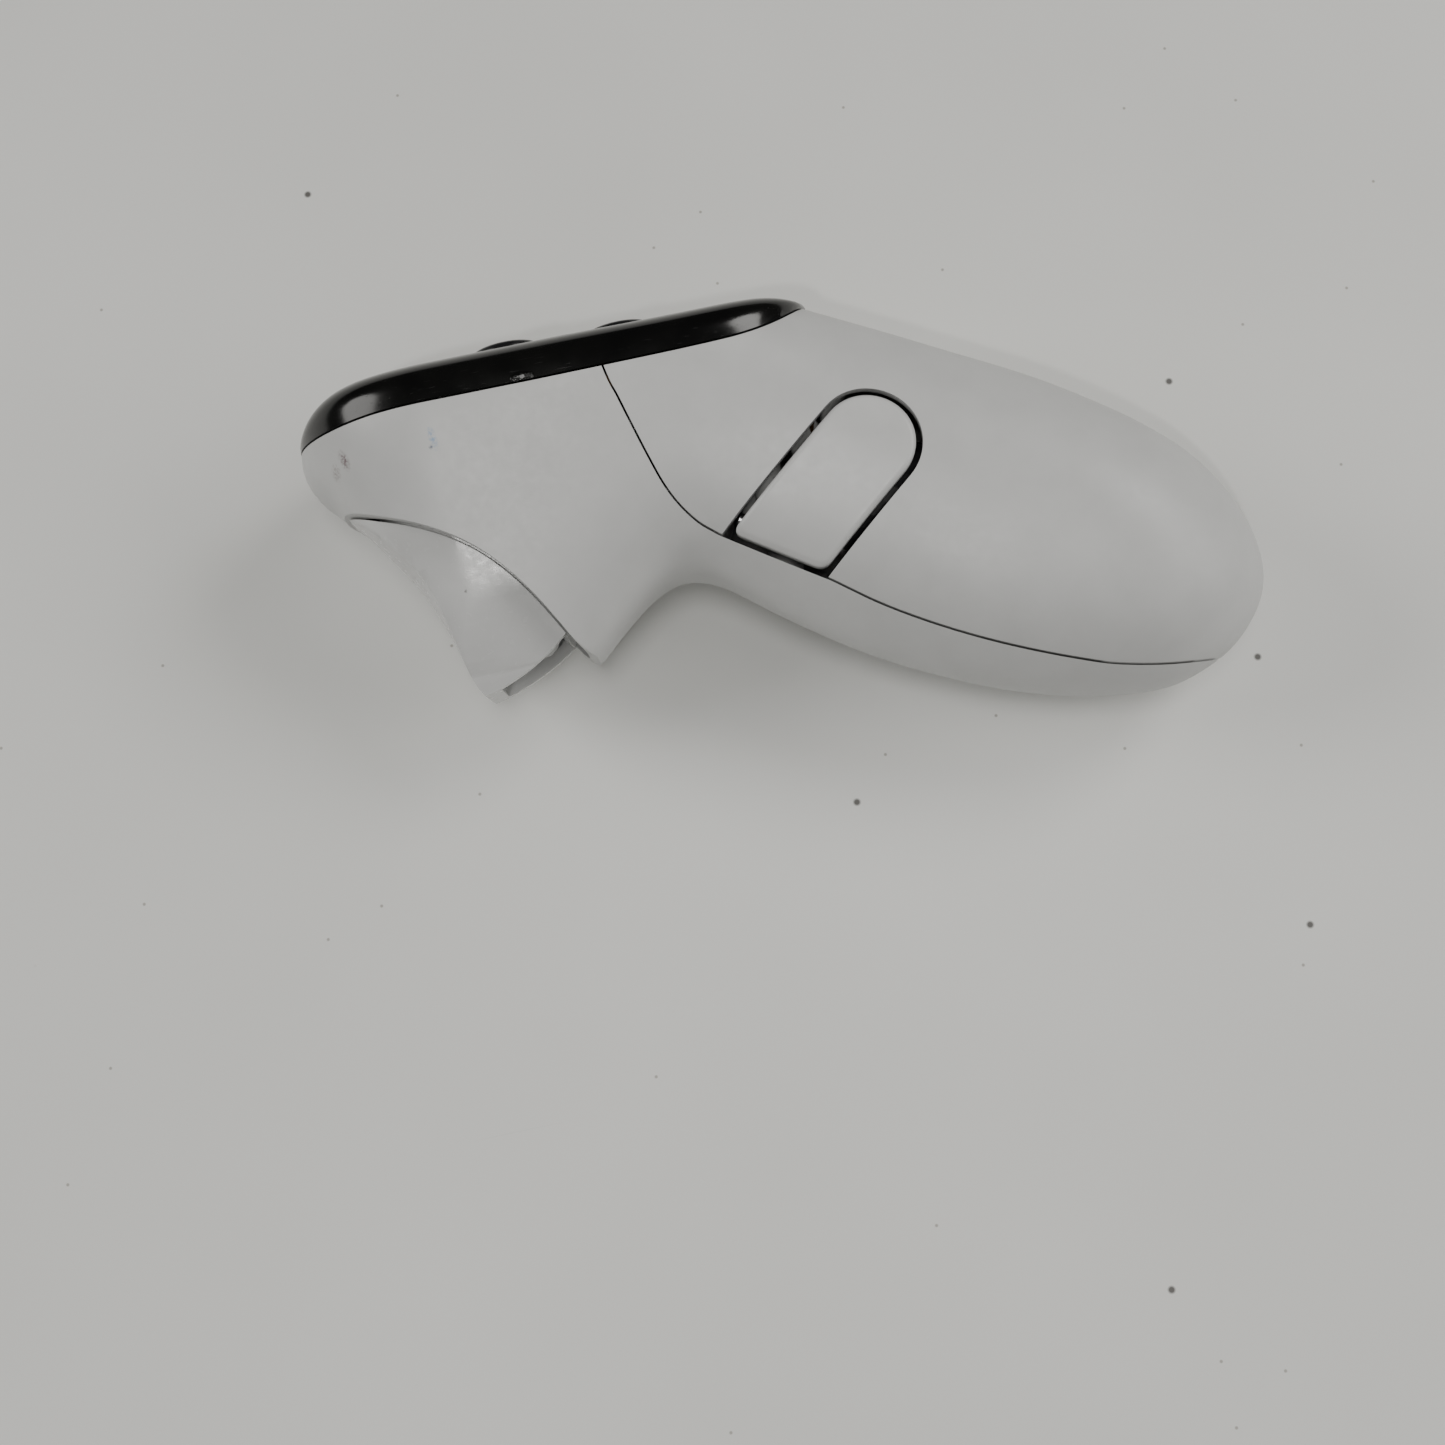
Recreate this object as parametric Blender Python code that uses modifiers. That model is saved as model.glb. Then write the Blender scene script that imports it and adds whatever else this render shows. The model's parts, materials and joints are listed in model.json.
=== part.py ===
"""Handheld motion controller for one hand, lying on its right side.

Modelled in a body frame: X runs along the face plate from the nose to the
handle's end, Y points out of the face plate and Z out of the left side, with
Z = 0 at the middle plane. The empty body_frame then tilts the whole
controller to the way it rests on a table, with the table at Z = 0.
Sizes are written in millimetres; MM turns them into Blender's metres.
"""

import math

import bmesh
import bpy
import numpy as np
from mathutils import Matrix, Vector

MM = 0.001

# ---------------------------------------------------------------- driving sizes
WALL = 1.8            # shell thickness
GAP = 0.3             # clearance between neighbouring pieces
SEAM_HEIGHT = 24.5    # Y at which the half widths below are measured
COVER_WALL = 1.6      # face cover thickness
COVER_SQUARENESS = 3.6

# How the controller rests: rotation about X, then Y (degrees), then its place.
REST_ROLL = 7.1
REST_PITCH = -1.463
REST_OFFSET = (0.458, -2.208, 17.551)

# Side outline of the white body: points (x, y) from nose to handle's end.
TOP_LINE = [(-63.8, 23.4), (-63.2, 26.0), (-60.5, 30.0), (-56.0, 32.6), (-48.0, 34.0),
            (-30.0, 34.3), (-14.0, 34.2), (-2.0, 33.2), (4.5, 31.8), (9.6, 29.5), (18.0, 25.2),
            (27.9, 19.6), (37.7, 13.9), (47.2, 7.2), (51.8, 3.4), (56.2, -1.0), (60.0, -6.8),
            (61.8, -11.1), (62.7, -15.0), (62.9, -18.0)]
# Under the trigger this line is only the imagined bottom of the side walls.
BOTTOM_LINE = [(-63.8, 23.4), (-63.5, 21.2), (-62.1, 18.2), (-59.4, 15.0), (-56.5, 9.0),
               (-52.5, -1.0), (-47.5, -13.0), (-42.0, -20.0), (-37.0, -20.0), (-32.5, -15.0),
               (-29.8, -11.9), (-28.3, -11.0), (-26.8, -9.6), (-23.6, -7.0), (-20.7, -4.9),
               (-17.9, -3.5), (-15.6, -3.0), (-13.1, -3.4), (-10.3, -4.8), (-6.8, -7.6),
               (-3.8, -10.2), (2.4, -15.0), (8.8, -19.4), (15.0, -22.9), (21.3, -26.0),
               (27.7, -28.6), (34.3, -30.6), (39.6, -31.6), (44.4, -32.1), (48.7, -31.8),
               (54.0, -30.0), (57.6, -27.7), (60.6, -24.5), (62.2, -21.6), (62.9, -18.0)]
# Joint between the face cover and the white shells, and the cover's crest.
COVER_SEAM = [(-68.0, 25.4), (-63.8, 24.8), (-58.0, 24.6), (-50.0, 24.7), (-41.0, 24.5),
              (-27.0, 24.1), (-14.0, 24.1), (-6.0, 24.4), (0.0, 25.0), (4.5, 26.3), (7.5, 28.0),
              (9.6, 29.8), (14.0, 34.0)]
COVER_CREST = [(-63.7, 25.3), (-63.0, 26.6), (-60.4, 29.2), (-57.3, 30.8), (-54.3, 31.5),
               (-50.5, 31.8), (-42.0, 31.8), (-27.0, 31.4), (-12.0, 31.1), (-1.0, 31.3),
               (3.0, 31.2), (5.6, 30.8), (7.5, 30.3), (9.5, 29.8)]
# Joint between front housing and rear housing, past the grip button's flat edge.
SHELL_SEAM = [(-21.5, 36.0), (-19.7, 23.7), (-18.7, 19.8), (-17.6, 15.6), (-16.5, 11.6),
              (-15.3, 7.8), (-13.9, 4.9), (-11.9, 2.2), (-9.5, 0.1)]
HANDLE_SEAM = [(3.9, -9.2), (9.6, -13.7), (15.5, -17.6), (21.5, -21.0), (27.7, -24.0),
               (33.9, -26.6), (38.8, -28.3), (44.9, -29.6), (50.6, -30.1), (56.0, -29.9),
               (62.0, -29.0), (70.0, -27.0)]
# Lower edge of the front housing's side walls, over the trigger.
TRIGGER_ARC = [(-60.8, 13.9), (-59.3, 14.9), (-57.6, 14.3), (-53.8, 12.4), (-49.7, 10.5),
               (-46.3, 8.7), (-42.7, 6.3), (-39.7, 3.6), (-36.9, 0.2), (-34.6, -3.3),
               (-32.8, -6.5), (-31.4, -9.1), (-30.2, -10.6), (-29.1, -11.4)]

# Section of the body along X: half width at the face seam, how much the side
# walls draw in per mm below it, and how square the section's top and bottom are.
SECTIONS = [
    # x, half width, draw-in, squareness top, squareness bottom
    (-63.8, 20.0, 0.24, 2.6, 2.4),
    (-50.0, 20.3, 0.24, 3.6, 2.8),
    (-36.0, 20.4, 0.24, 4.4, 4.0),
    (-24.0, 20.4, 0.25, 4.4, 3.6),
    (-12.0, 19.6, 0.22, 4.0, 2.8),
    (-2.0, 18.4, 0.14, 3.3, 2.4),
    (8.0, 17.4, 0.05, 2.5, 2.3),
    (18.0, 17.2, 0.0, 2.2, 2.2),
    (34.0, 17.3, 0.0, 2.15, 2.15),
    (62.9, 17.3, 0.0, 2.1, 2.1),
]
NOSE_X, NOSE_LENGTH = -63.8, 21.0     # the width rounds off over this length at the nose
TAIL_X, TAIL_LENGTH = 62.9, 25.0      # and at the handle's end

# Face controls: (x, z) on the face plate.
STICK = (-38.0, -8.0)
BUTTON_B = (-32.4, 7.5)
BUTTON_A = (-16.8, 7.5)
BUTTON_A_TOP, BUTTON_B_TOP = 31.95, 32.6
MENU = (-4.0, -6.5)
THUMB_REST = (-18.0, -7.5)
STICK_HOLE, BUTTON_HOLE, MENU_HOLE = 7.6, 5.2, 3.5
STICK_WELL = (10.4, 30.9)     # radius and floor height of the dish around the stick
THUMB_DISH = (5.4, 30.7)      # the same for the thumb rest's flat
STICK_PIVOT_Y = 19.6

# Trigger hinge and its curved underside, which turns about the hinge.
TRIGGER_PIVOT = (-51.0, 16.5)
TRIGGER_FRONT = [(-57.2, 17.6), (-58.7, 14.8), (-57.0, 12.6), (-54.5, 8.8), (-52.1, 5.0),
                 (-50.2, 1.2), (-49.1, -1.9), (-48.1, -4.9), (-46.9, -9.3), (-45.9, -12.3),
                 (-45.0, -13.5)]
TRIGGER_SWELL = 1.5           # how far the finger face's middle stands out from its edges
TRIGGER_UNDER_RADIUS = 30.6
TRIGGER_TIP_ANGLE, TRIGGER_BACK_ANGLE = -77.5, -46.0
TRIGGER_FLANK = 0.9           # room between its flanks and the housing's walls
TRIGGER_NECK = 1.9            # the same above the arc, inside the walls
TRIGGER_WALL = 1.7
TRIGGER_RECESS = 2.4          # how far the underside is set in between the flanks
TRIGGER_RECESS_ANGLES = (-74.5, -53.0)
TRIGGER_RIM = 1.2             # thickness of the flanks' edges beside it
# Half width of the trigger against Y: it narrows to its tip.
TRIGGER_TAPER = [(-20.0, 3.6), (-14.5, 5.2), (-10.0, 7.4), (-5.0, 9.8), (0.0, 11.9), (6.0, 14.0),
                 (14.0, 16.5), (24.0, 19.0)]

# Grip button: a skewed U, round end up the handle, flat edge on the shell seam.
GRIP_ROUND = (12.4, 7.2)
GRIP_RADIUS = 7.3
GRIP_SIDE_ANGLE = 37.3
GRIP_FLAT = ((-9.5, 0.1), (3.9, -9.2))
GRIP_GAP = 0.9
GRIP_PROUD = 0.35
GRIP_HINGE_DEPTH = 8.4    # Z of the grip button's hinge pin
GRIP_HINGE_BACK = 3.6     # distance of the hinge from the flat edge

# Battery: one cylindrical cell along the handle.
CELL_CENTRE, CELL_ANGLE, CELL_Z = (30.9, -6.0), -27.0, -0.5
CELL_RADIUS, CELL_LENGTH = 7.1, 49.0
TRAY_HALF = 26.4

PIN_RADIUS, PIN_BORE = 1.2, 1.5
BOARD_Y = (15.2, 16.4)
CHASSIS_Y = (12.9, 14.9)
SCREW_PLACES = [(-21.8, -7.0), (-21.8, 7.0), (-1.0, 2.5)]


# ---------------------------------------------------------------- scene helpers
def reset_scene():
    for obj in list(bpy.data.objects):
        bpy.data.objects.remove(obj)
    made = []
    for name in ("motion_controller", "cutters"):
        collection = bpy.data.collections.new(name)
        bpy.context.scene.collection.children.link(collection)
        made.append(collection)
    return made


PARTS, CUTTERS = reset_scene()


def add_object(name, mesh, helper=False):
    obj = bpy.data.objects.new(name, mesh)
    (CUTTERS if helper else PARTS).objects.link(obj)
    if helper:
        obj.hide_render = True
        obj.display_type = "WIRE"
    return obj


def mesh_from(bm, name):
    """A mesh from bm, with every face turned outwards."""
    bmesh.ops.recalc_face_normals(bm, faces=bm.faces)
    if bm.calc_volume(signed=True) < 0:
        bmesh.ops.reverse_faces(bm, faces=bm.faces)
    mesh = bpy.data.meshes.new(name)
    bm.to_mesh(mesh)
    bm.free()
    return mesh


def box(name, low, high, helper=False):
    low, high = Vector(low) * MM, Vector(high) * MM
    bm = bmesh.new()
    bmesh.ops.create_cube(bm, size=1.0)
    size = high - low
    bmesh.ops.scale(bm, vec=size, verts=bm.verts)
    bmesh.ops.translate(bm, vec=(low + high) / 2, verts=bm.verts)
    return add_object(name, mesh_from(bm, name), helper)


def rod(name, start, end, radius, helper=False, segments=24):
    """A cylinder between two points."""
    start, end = Vector(start) * MM, Vector(end) * MM
    along = end - start
    bm = bmesh.new()
    bmesh.ops.create_cone(bm, cap_ends=True, segments=segments, radius1=radius * MM,
                          radius2=radius * MM, depth=along.length)
    turn = along.to_track_quat("Z", "Y").to_matrix().to_4x4()
    bm.transform(Matrix.Translation((start + end) / 2) @ turn)
    return add_object(name, mesh_from(bm, name), helper)


def outline_mesh(name, outlines, thickness):
    """A flat plate in XY, centred on Z = 0, from one or more closed outlines."""
    curve = bpy.data.curves.new(name, "CURVE")
    curve.dimensions = "2D"
    curve.fill_mode = "BOTH"
    curve.extrude = thickness * MM / 2
    for points in outlines:
        spline = curve.splines.new("POLY")
        spline.points.add(len(points) - 1)
        for point, (x, y) in zip(spline.points, points):
            point.co = (x * MM, y * MM, 0.0, 1.0)
        spline.use_cyclic_u = True
    obj = bpy.data.objects.new(name, curve)
    PARTS.objects.link(obj)
    graph = bpy.context.evaluated_depsgraph_get()
    mesh = bpy.data.meshes.new_from_object(obj.evaluated_get(graph))
    bpy.data.objects.remove(obj)
    bm = bmesh.new()
    bm.from_mesh(mesh)
    bmesh.ops.remove_doubles(bm, verts=bm.verts, dist=1e-6)
    return mesh_from(bm, name)


def prism(name, outline, z_low, z_high, helper=False):
    """An outline in the side view, with a straight depth along Z."""
    mesh = outline_mesh(name, [outline], z_high - z_low)
    mesh.transform(Matrix.Translation((0, 0, (z_low + z_high) / 2 * MM)))
    return add_object(name, mesh, helper)


def slab(name, outlines, y_low, y_high, helper=False):
    """A plate parallel to the face, from outlines in (x, z)."""
    mesh = outline_mesh(name, outlines, y_high - y_low)
    mesh.transform(Matrix.Translation((0, (y_low + y_high) / 2 * MM, 0))
                   @ Matrix.Rotation(math.pi / 2, 4, "X"))
    return add_object(name, mesh, helper)


def boolean(obj, other, operation):
    modifier = obj.modifiers.new(f"{operation.lower()}_{other.name}"[:60], "BOOLEAN")
    modifier.operation = operation
    modifier.solver = "EXACT"
    modifier.object = other
    return obj


def cut(obj, *others):
    for other in others:
        boolean(obj, other, "DIFFERENCE")
    return obj


def join(obj, *others):
    for other in others:
        boolean(obj, other, "UNION")
    return obj


def keep(obj, other):
    return boolean(obj, other, "INTERSECT")


def set_origin(obj, point):
    """Puts the object's origin at a point of its joint's axis."""
    place = Matrix.Translation(Vector(point) * MM)
    obj.data.transform(place.inverted())
    obj.matrix_world = place
    return obj


def turned(name, profile, centre, bottom_y=0.0, segments=24):
    """A profile of (radius, height), outer side from top to bottom, turned about Y."""
    bm = bmesh.new()
    verts = [bm.verts.new((r * MM, 0.0, h * MM)) for r, h in profile]
    for a, b in zip(verts, verts[1:]):
        bm.edges.new((a, b))
    mesh = bpy.data.meshes.new(name)
    bm.to_mesh(mesh)
    bm.free()
    obj = add_object(name, mesh)
    screw = obj.modifiers.new("turn", "SCREW")
    screw.steps = segments
    screw.render_steps = segments
    screw.use_merge_vertices = True
    screw.merge_threshold = 1e-6
    obj.rotation_euler = (-math.pi / 2, 0, 0)
    obj.location = Vector((centre[0], bottom_y, centre[1])) * MM
    return obj


def paint(obj, name, colour, roughness, metallic=0.0):
    material = bpy.data.materials.get(name)
    if material is None:
        material = bpy.data.materials.new(name)
        material.use_nodes = True
        shader = material.node_tree.nodes["Principled BSDF"]
        shader.inputs["Base Color"].default_value = (*colour, 1.0)
        shader.inputs["Roughness"].default_value = roughness
        shader.inputs["Metallic"].default_value = metallic
    obj.data.materials.clear()
    obj.data.materials.append(material)


# ---------------------------------------------------------------- outline maths
def smooth(points, steps=6):
    """A Catmull-Rom curve through the points."""
    p = np.array(points, float)
    p = np.vstack([2 * p[0] - p[1], p, 2 * p[-1] - p[-2]])
    t = np.linspace(0, 1, steps, endpoint=False)[:, None]
    rows = [0.5 * (2 * b + (c - a) * t + (2 * a - 5 * b + 4 * c - d) * t ** 2
                   + (3 * b - a - 3 * c + d) * t ** 3)
            for a, b, c, d in zip(p, p[1:], p[2:], p[3:])]
    return np.vstack([*rows, p[-2:-1]])


TOP, BOTTOM = smooth(TOP_LINE), smooth(BOTTOM_LINE)
SEAM, CREST = smooth(COVER_SEAM), smooth(COVER_CREST)
SECTION_TABLE = np.array(SECTIONS)


def height_on(line, x):
    return np.interp(x, line[:, 0], line[:, 1])


def inset_height(line, x, distance, sign):
    """Height of the line moved inwards by distance: sign -1 for a top, 1 for a bottom."""
    if distance == 0:
        return height_on(line, x)
    dense_x = np.linspace(line[0, 0], line[-1, 0], 400)
    points = np.vstack([line, np.column_stack([dense_x, height_on(line, dense_x)])])
    reach = distance ** 2 - (x - points[:, 0]) ** 2
    near = reach >= 0
    heights = points[near, 1] + sign * np.sqrt(reach[near])
    return heights.max() if sign > 0 else heights.min()


def section_values(x):
    """Half width, draw-in, top and bottom squareness at x."""
    columns = SECTION_TABLE[:, 0]
    width, draw, top, bottom = (np.interp(x, columns, SECTION_TABLE[:, k]) for k in range(1, 5))
    nose = min(1.0, max(0.0, (x - NOSE_X) / NOSE_LENGTH))
    tail = min(1.0, max(0.0, (TAIL_X - x) / TAIL_LENGTH))
    width *= math.sqrt(nose * (2 - nose)) * math.sqrt(tail * (2 - tail))
    return width, draw, top, bottom


def half_depth(x, y):
    """Z of the left side's surface at a point of the side view."""
    width, draw, square_top, square_bottom = section_values(x)
    top, bottom = height_on(TOP, x), height_on(BOTTOM, x)
    t = (2 * y - top - bottom) / max(top - bottom, 1e-6)
    n = square_top if t > 0 else square_bottom
    profile = max(0.0, 1 - min(1.0, abs(t)) ** n) ** (1 / n)
    return profile * (width - draw * (SEAM_HEIGHT - y))


def body_ring(x, inset, line_inset, count):
    """One closed section of the body, drawn in by inset on the sides."""
    width, draw, square_top, square_bottom = section_values(x)
    top = inset_height(TOP, x, line_inset, -1)
    bottom = inset_height(BOTTOM, x, line_inset, 1)
    middle, half = (top + bottom) / 2, (top - bottom) / 2
    ring = []
    for k in range(count):
        angle = 2 * math.pi * k / count
        c, s = math.cos(angle), math.sin(angle)
        n = square_top if s > 0 else square_bottom
        r = (abs(c) ** n + abs(s) ** n) ** (-1 / n)
        y = middle + half * r * s
        across = max(0.05, width - draw * (SEAM_HEIGHT - y) - inset)
        ring.append((x, y, across * r * c))
    return ring


def loft(name, rings, helper=False):
    """A closed skin through rings of equal count, with its ends closed."""
    bm = bmesh.new()
    rows = [[bm.verts.new(Vector(p) * MM) for p in ring] for ring in rings]
    for a, b in zip(rows, rows[1:]):
        count = max(len(a), len(b))
        for k in range(count):
            j = (k + 1) % count
            corners = [a[k % len(a)], a[j % len(a)], b[j % len(b)], b[k % len(b)]]
            unique = list(dict.fromkeys(corners))
            bm.faces.new(unique)
    for end in (rows[0], rows[-1]):
        if len(end) > 2:
            bm.faces.new(end)
    bmesh.ops.triangulate(bm, faces=bm.faces)
    return add_object(name, mesh_from(bm, name), helper)


def spaced(low, high, count):
    """Positions from low to high, closer together near both ends."""
    k = np.arange(count + 1) / count
    even, round_ends = k, 0.5 - 0.5 * np.cos(math.pi * k)
    return low + (high - low) * (0.35 * even + 0.65 * round_ends)


def body_solid(name, inset=0.0, line_inset=0.0, stations=44, count=26, helper=True):
    """The controller's outer form, or a smaller copy of it for a cavity."""
    low, high = NOSE_X + line_inset, TAIL_X - line_inset
    rings = []
    for x in spaced(low, high, stations)[1:-1]:
        width = section_values(x)[0]
        top = inset_height(TOP, x, line_inset, -1)
        bottom = inset_height(BOTTOM, x, line_inset, 1)
        if top - bottom > 1.0 and width - inset > 1.0:
            rings.append(body_ring(x, inset, line_inset, count))
    if inset <= 0 and line_inset == 0:
        nose, tail = (NOSE_X + min(0, inset), TOP[0, 1], 0), (TAIL_X, TOP[-1, 1], 0)
        rings = [[nose], *rings, [tail]]
    return loft(name, rings, helper)


def offset_line(points, distance):
    """A polyline moved sideways, to its left for a positive distance."""
    p = np.array(points, float)
    along = np.gradient(p, axis=0)
    along /= np.linalg.norm(along, axis=1)[:, None]
    return p + distance * np.column_stack([-along[:, 1], along[:, 0]])


def arc_points(centre, radius, start, end, count):
    angles = np.radians(np.linspace(start, end, count))
    return [(centre[0] + radius * math.cos(a), centre[1] + radius * math.sin(a)) for a in angles]


def grip_outline(gap):
    """The grip button's U, drawn in by gap on every side."""
    radius = GRIP_RADIUS - gap
    round_end = arc_points(GRIP_ROUND, radius, GRIP_SIDE_ANGLE - 90, GRIP_SIDE_ANGLE + 90, 15)
    side = np.array([math.cos(math.radians(GRIP_SIDE_ANGLE)),
                     math.sin(math.radians(GRIP_SIDE_ANGLE))])
    low, high = np.array(GRIP_FLAT[1]), np.array(GRIP_FLAT[0])
    flat = (high - low) / np.linalg.norm(high - low)
    inward = np.array([flat[1], -flat[0]])
    base = low + inward * gap
    corners = []
    for point in (np.array(round_end[-1]), np.array(round_end[0])):
        # Where the straight side through point meets the flat edge.
        a = np.array([[side[0], -flat[0]], [side[1], -flat[1]]])
        back, _ = np.linalg.solve(a, base - point)
        corners.append(point + side * back)
    return [*round_end, tuple(corners[0]), tuple(corners[1])]


def oval(centre, half_x, half_z, square=2.0, count=32):
    points = []
    for k in range(count):
        angle = 2 * math.pi * k / count
        c, s = math.cos(angle), math.sin(angle)
        r = (abs(c) ** square + abs(s) ** square) ** (-1 / square)
        points.append((centre[0] + half_x * r * c, centre[1] + half_z * r * s))
    return points


def on_cell(along, across=0.0, z=CELL_Z):
    """A point given along and across the battery's axis."""
    a = math.radians(CELL_ANGLE)
    return (CELL_CENTRE[0] + along * math.cos(a) - across * math.sin(a),
            CELL_CENTRE[1] + along * math.sin(a) + across * math.cos(a), z)


def wire(name, points, radius, resolution=1):
    """A round wire along points, as one closed mesh."""
    curve = bpy.data.curves.new(name, "CURVE")
    curve.dimensions = "3D"
    curve.bevel_depth = radius * MM
    curve.bevel_resolution = resolution
    curve.use_fill_caps = True
    spline = curve.splines.new("POLY")
    spline.points.add(len(points) - 1)
    for point, place in zip(spline.points, points):
        point.co = (*(Vector(place) * MM), 1.0)
    obj = bpy.data.objects.new(name, curve)
    PARTS.objects.link(obj)
    return obj


def coil_points(start, axis, radius, pitch, turns, end_radius=None, first_angle=0.0):
    """Points of a coil about an axis, from start. Angles in degrees."""
    axis = Vector(axis).normalized()
    side = Vector((1, 0, 0)) if abs(axis.z) > 0.9 else axis.orthogonal().normalized()
    other = axis.cross(side)
    end_radius = radius if end_radius is None else end_radius
    count = round(turns * 12)
    points = []
    for k in range(count + 1):
        angle = math.radians(first_angle) + 2 * math.pi * turns * k / count
        r = radius + (end_radius - radius) * k / count
        points.append(Vector(start) + axis * (pitch * turns * k / count)
                      + side * (r * math.cos(angle)) + other * (r * math.sin(angle)))
    return points


# ---------------------------------------------------------------- shared regions
def front_region(name, grow):
    """Everything on the front housing's side of the shell seam."""
    line = np.vstack([smooth(SHELL_SEAM, 3), smooth(HANDLE_SEAM, 3)])
    line = offset_line(line, grow)
    outline = [*map(tuple, line), (70, -60), (-80, -60), (-80, 40)]
    return prism(name, outline, -40, 40, helper=True)


def cover_region():
    """The space above the face seam, taken by the face cover."""
    outline = [*map(tuple, SEAM), (14.0, 50.0), (-70.0, 50.0), (-70.0, 25.4)]
    return prism("cover_space", outline, -40, 40, helper=True)


def trigger_opening():
    arc = [tuple(p) for p in smooth(TRIGGER_ARC, 3)]
    outline = [*arc, (-28.8, -30.0), (-72.0, -30.0), (-66.0, 7.0)]
    return prism("trigger_opening", outline, -40, 40, helper=True)


def door_region(name, grow):
    """A channel along the handle's right side that runs out at its end."""
    corners = [on_cell(-19.0 - grow, -9.6 - grow), on_cell(60.0, -9.6 - grow),
               on_cell(60.0, 9.6 + grow), on_cell(-19.0 - grow, 9.6 + grow)]
    return prism(name, [c[:2] for c in corners], -40, -5.0 + grow, helper=True)


# ---------------------------------------------------------------- shells
def build_shells():
    cavity = body_solid("cavity", WALL, WALL, stations=34, count=22)
    cover_space = cover_region()
    door_space = door_region("door_space", GAP)

    front = body_solid("front_housing", helper=False)
    keep(front, front_region("front_side", 0.0))
    cut(front, cavity, cover_space, trigger_opening(), door_space)
    skin = body_solid("boss_limit", 0.9, 0.9, stations=40, count=24)
    for k, (x, z) in enumerate(SCREW_PLACES, 1):
        boss = rod(f"boss_{k}", (x, -20.0, z), (x, CHASSIS_Y[0] - GAP, z), 2.2,
                   helper=True, segments=16)
        join(front, keep(boss, skin))
        cut(front, rod(f"boss_bore_{k}", (x, CHASSIS_Y[0] - 9, z), (x, CHASSIS_Y[0], z), 1.2,
                       helper=True, segments=12))

    rear = body_solid("rear_housing", helper=False)
    cut(rear, front_region("front_side_grown", GAP), cavity, cover_space, door_space,
        prism("grip_window", grip_outline(0.0), 3.0, 40.0, helper=True))

    door = body_solid("battery_door", helper=False)
    keep(door, door_region("door_side", 0.0))
    cut(door, cavity)
    set_origin(door, on_cell(0.0))

    for shell in (front, rear, door):
        paint(shell, "white_plastic", (0.72, 0.72, 0.71), 0.42)


def cover_ring(x, inset, count=18):
    """Section of the face cover: a dome over the seam, drawn in by inset."""
    base = height_on(SEAM, x) + (GAP if inset == 0 else -2.0)
    crest = max(base + 0.02, height_on(CREST, x) - inset)
    half = max(0.02, half_depth(x, height_on(SEAM, x)) - inset * 1.1)
    ring = []
    for k in range(count + 1):
        angle = math.pi * k / count
        c, s = math.cos(angle), math.sin(angle)
        r = (abs(c) ** COVER_SQUARENESS + abs(s) ** COVER_SQUARENESS) ** (-1 / COVER_SQUARENESS)
        ring.append((x, base + (crest - base) * r * s, half * r * c))
    return ring


def build_face():
    cover = loft("face_cover", [cover_ring(x, 0.0) for x in spaced(-63.5, 9.2, 28)])
    hollow = loft("cover_hollow", [cover_ring(x, COVER_WALL) for x in spaced(-61.0, 5.5, 20)],
                  helper=True)
    cut(cover, hollow)
    for name, (x, z), radius in (("stick_hole", STICK, STICK_HOLE),
                                 ("b_hole", BUTTON_B, BUTTON_HOLE),
                                 ("a_hole", BUTTON_A, BUTTON_HOLE),
                                 ("menu_hole", MENU, MENU_HOLE)):
        cut(cover, rod(name, (x, 20, z), (x, 40, z), radius, helper=True, segments=32))
    for name, (x, z), (radius, floor) in (("stick_well", STICK, STICK_WELL),
                                          ("thumb_dish", THUMB_REST, THUMB_DISH)):
        cut(cover, rod(name, (x, floor, z), (x, 40, z), radius, helper=True, segments=32))
    paint(cover, "black_gloss", (0.012, 0.012, 0.013), 0.16)


def build_buttons():
    board_top = BOARD_Y[1]
    for letter, place, top in (("a", BUTTON_A, BUTTON_A_TOP), ("b", BUTTON_B, BUTTON_B_TOP)):
        x, z = place
        profile = [(0, top), (2.6, top - 0.1), (4.1, top - 0.35), (4.8, top - 0.9), (4.9, 28.6),
                   (5.6, 28.6), (5.6, 27.8), (1.6, 27.8), (1.6, 20.3), (0, 20.3)]
        button = turned(f"button_{letter}", profile, place)
        paint(button, "black_satin", (0.015, 0.015, 0.016), 0.3)
        switch = box(f"switch_{letter}", (x - 2.5, board_top + GAP, z - 2.5),
                     (x + 2.5, 19.0, z + 2.5))
        paint(switch, "switch_grey", (0.25, 0.25, 0.26), 0.4, 0.6)
    profile = [(0, 31.9), (2.6, 31.85), (3.1, 31.5), (3.2, 28.0), (4.0, 28.0), (4.0, 27.2),
               (1.4, 27.2), (1.4, 20.3), (0, 20.3)]
    menu = turned("menu_button", profile, MENU)
    paint(menu, "black_satin", (0.015, 0.015, 0.016), 0.3)
    x, z = MENU
    switch = box("switch_menu", (x - 2, board_top + GAP, z - 2), (x + 2, 19.0, z + 2))
    paint(switch, "switch_grey", (0.25, 0.25, 0.26), 0.4, 0.6)


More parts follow.
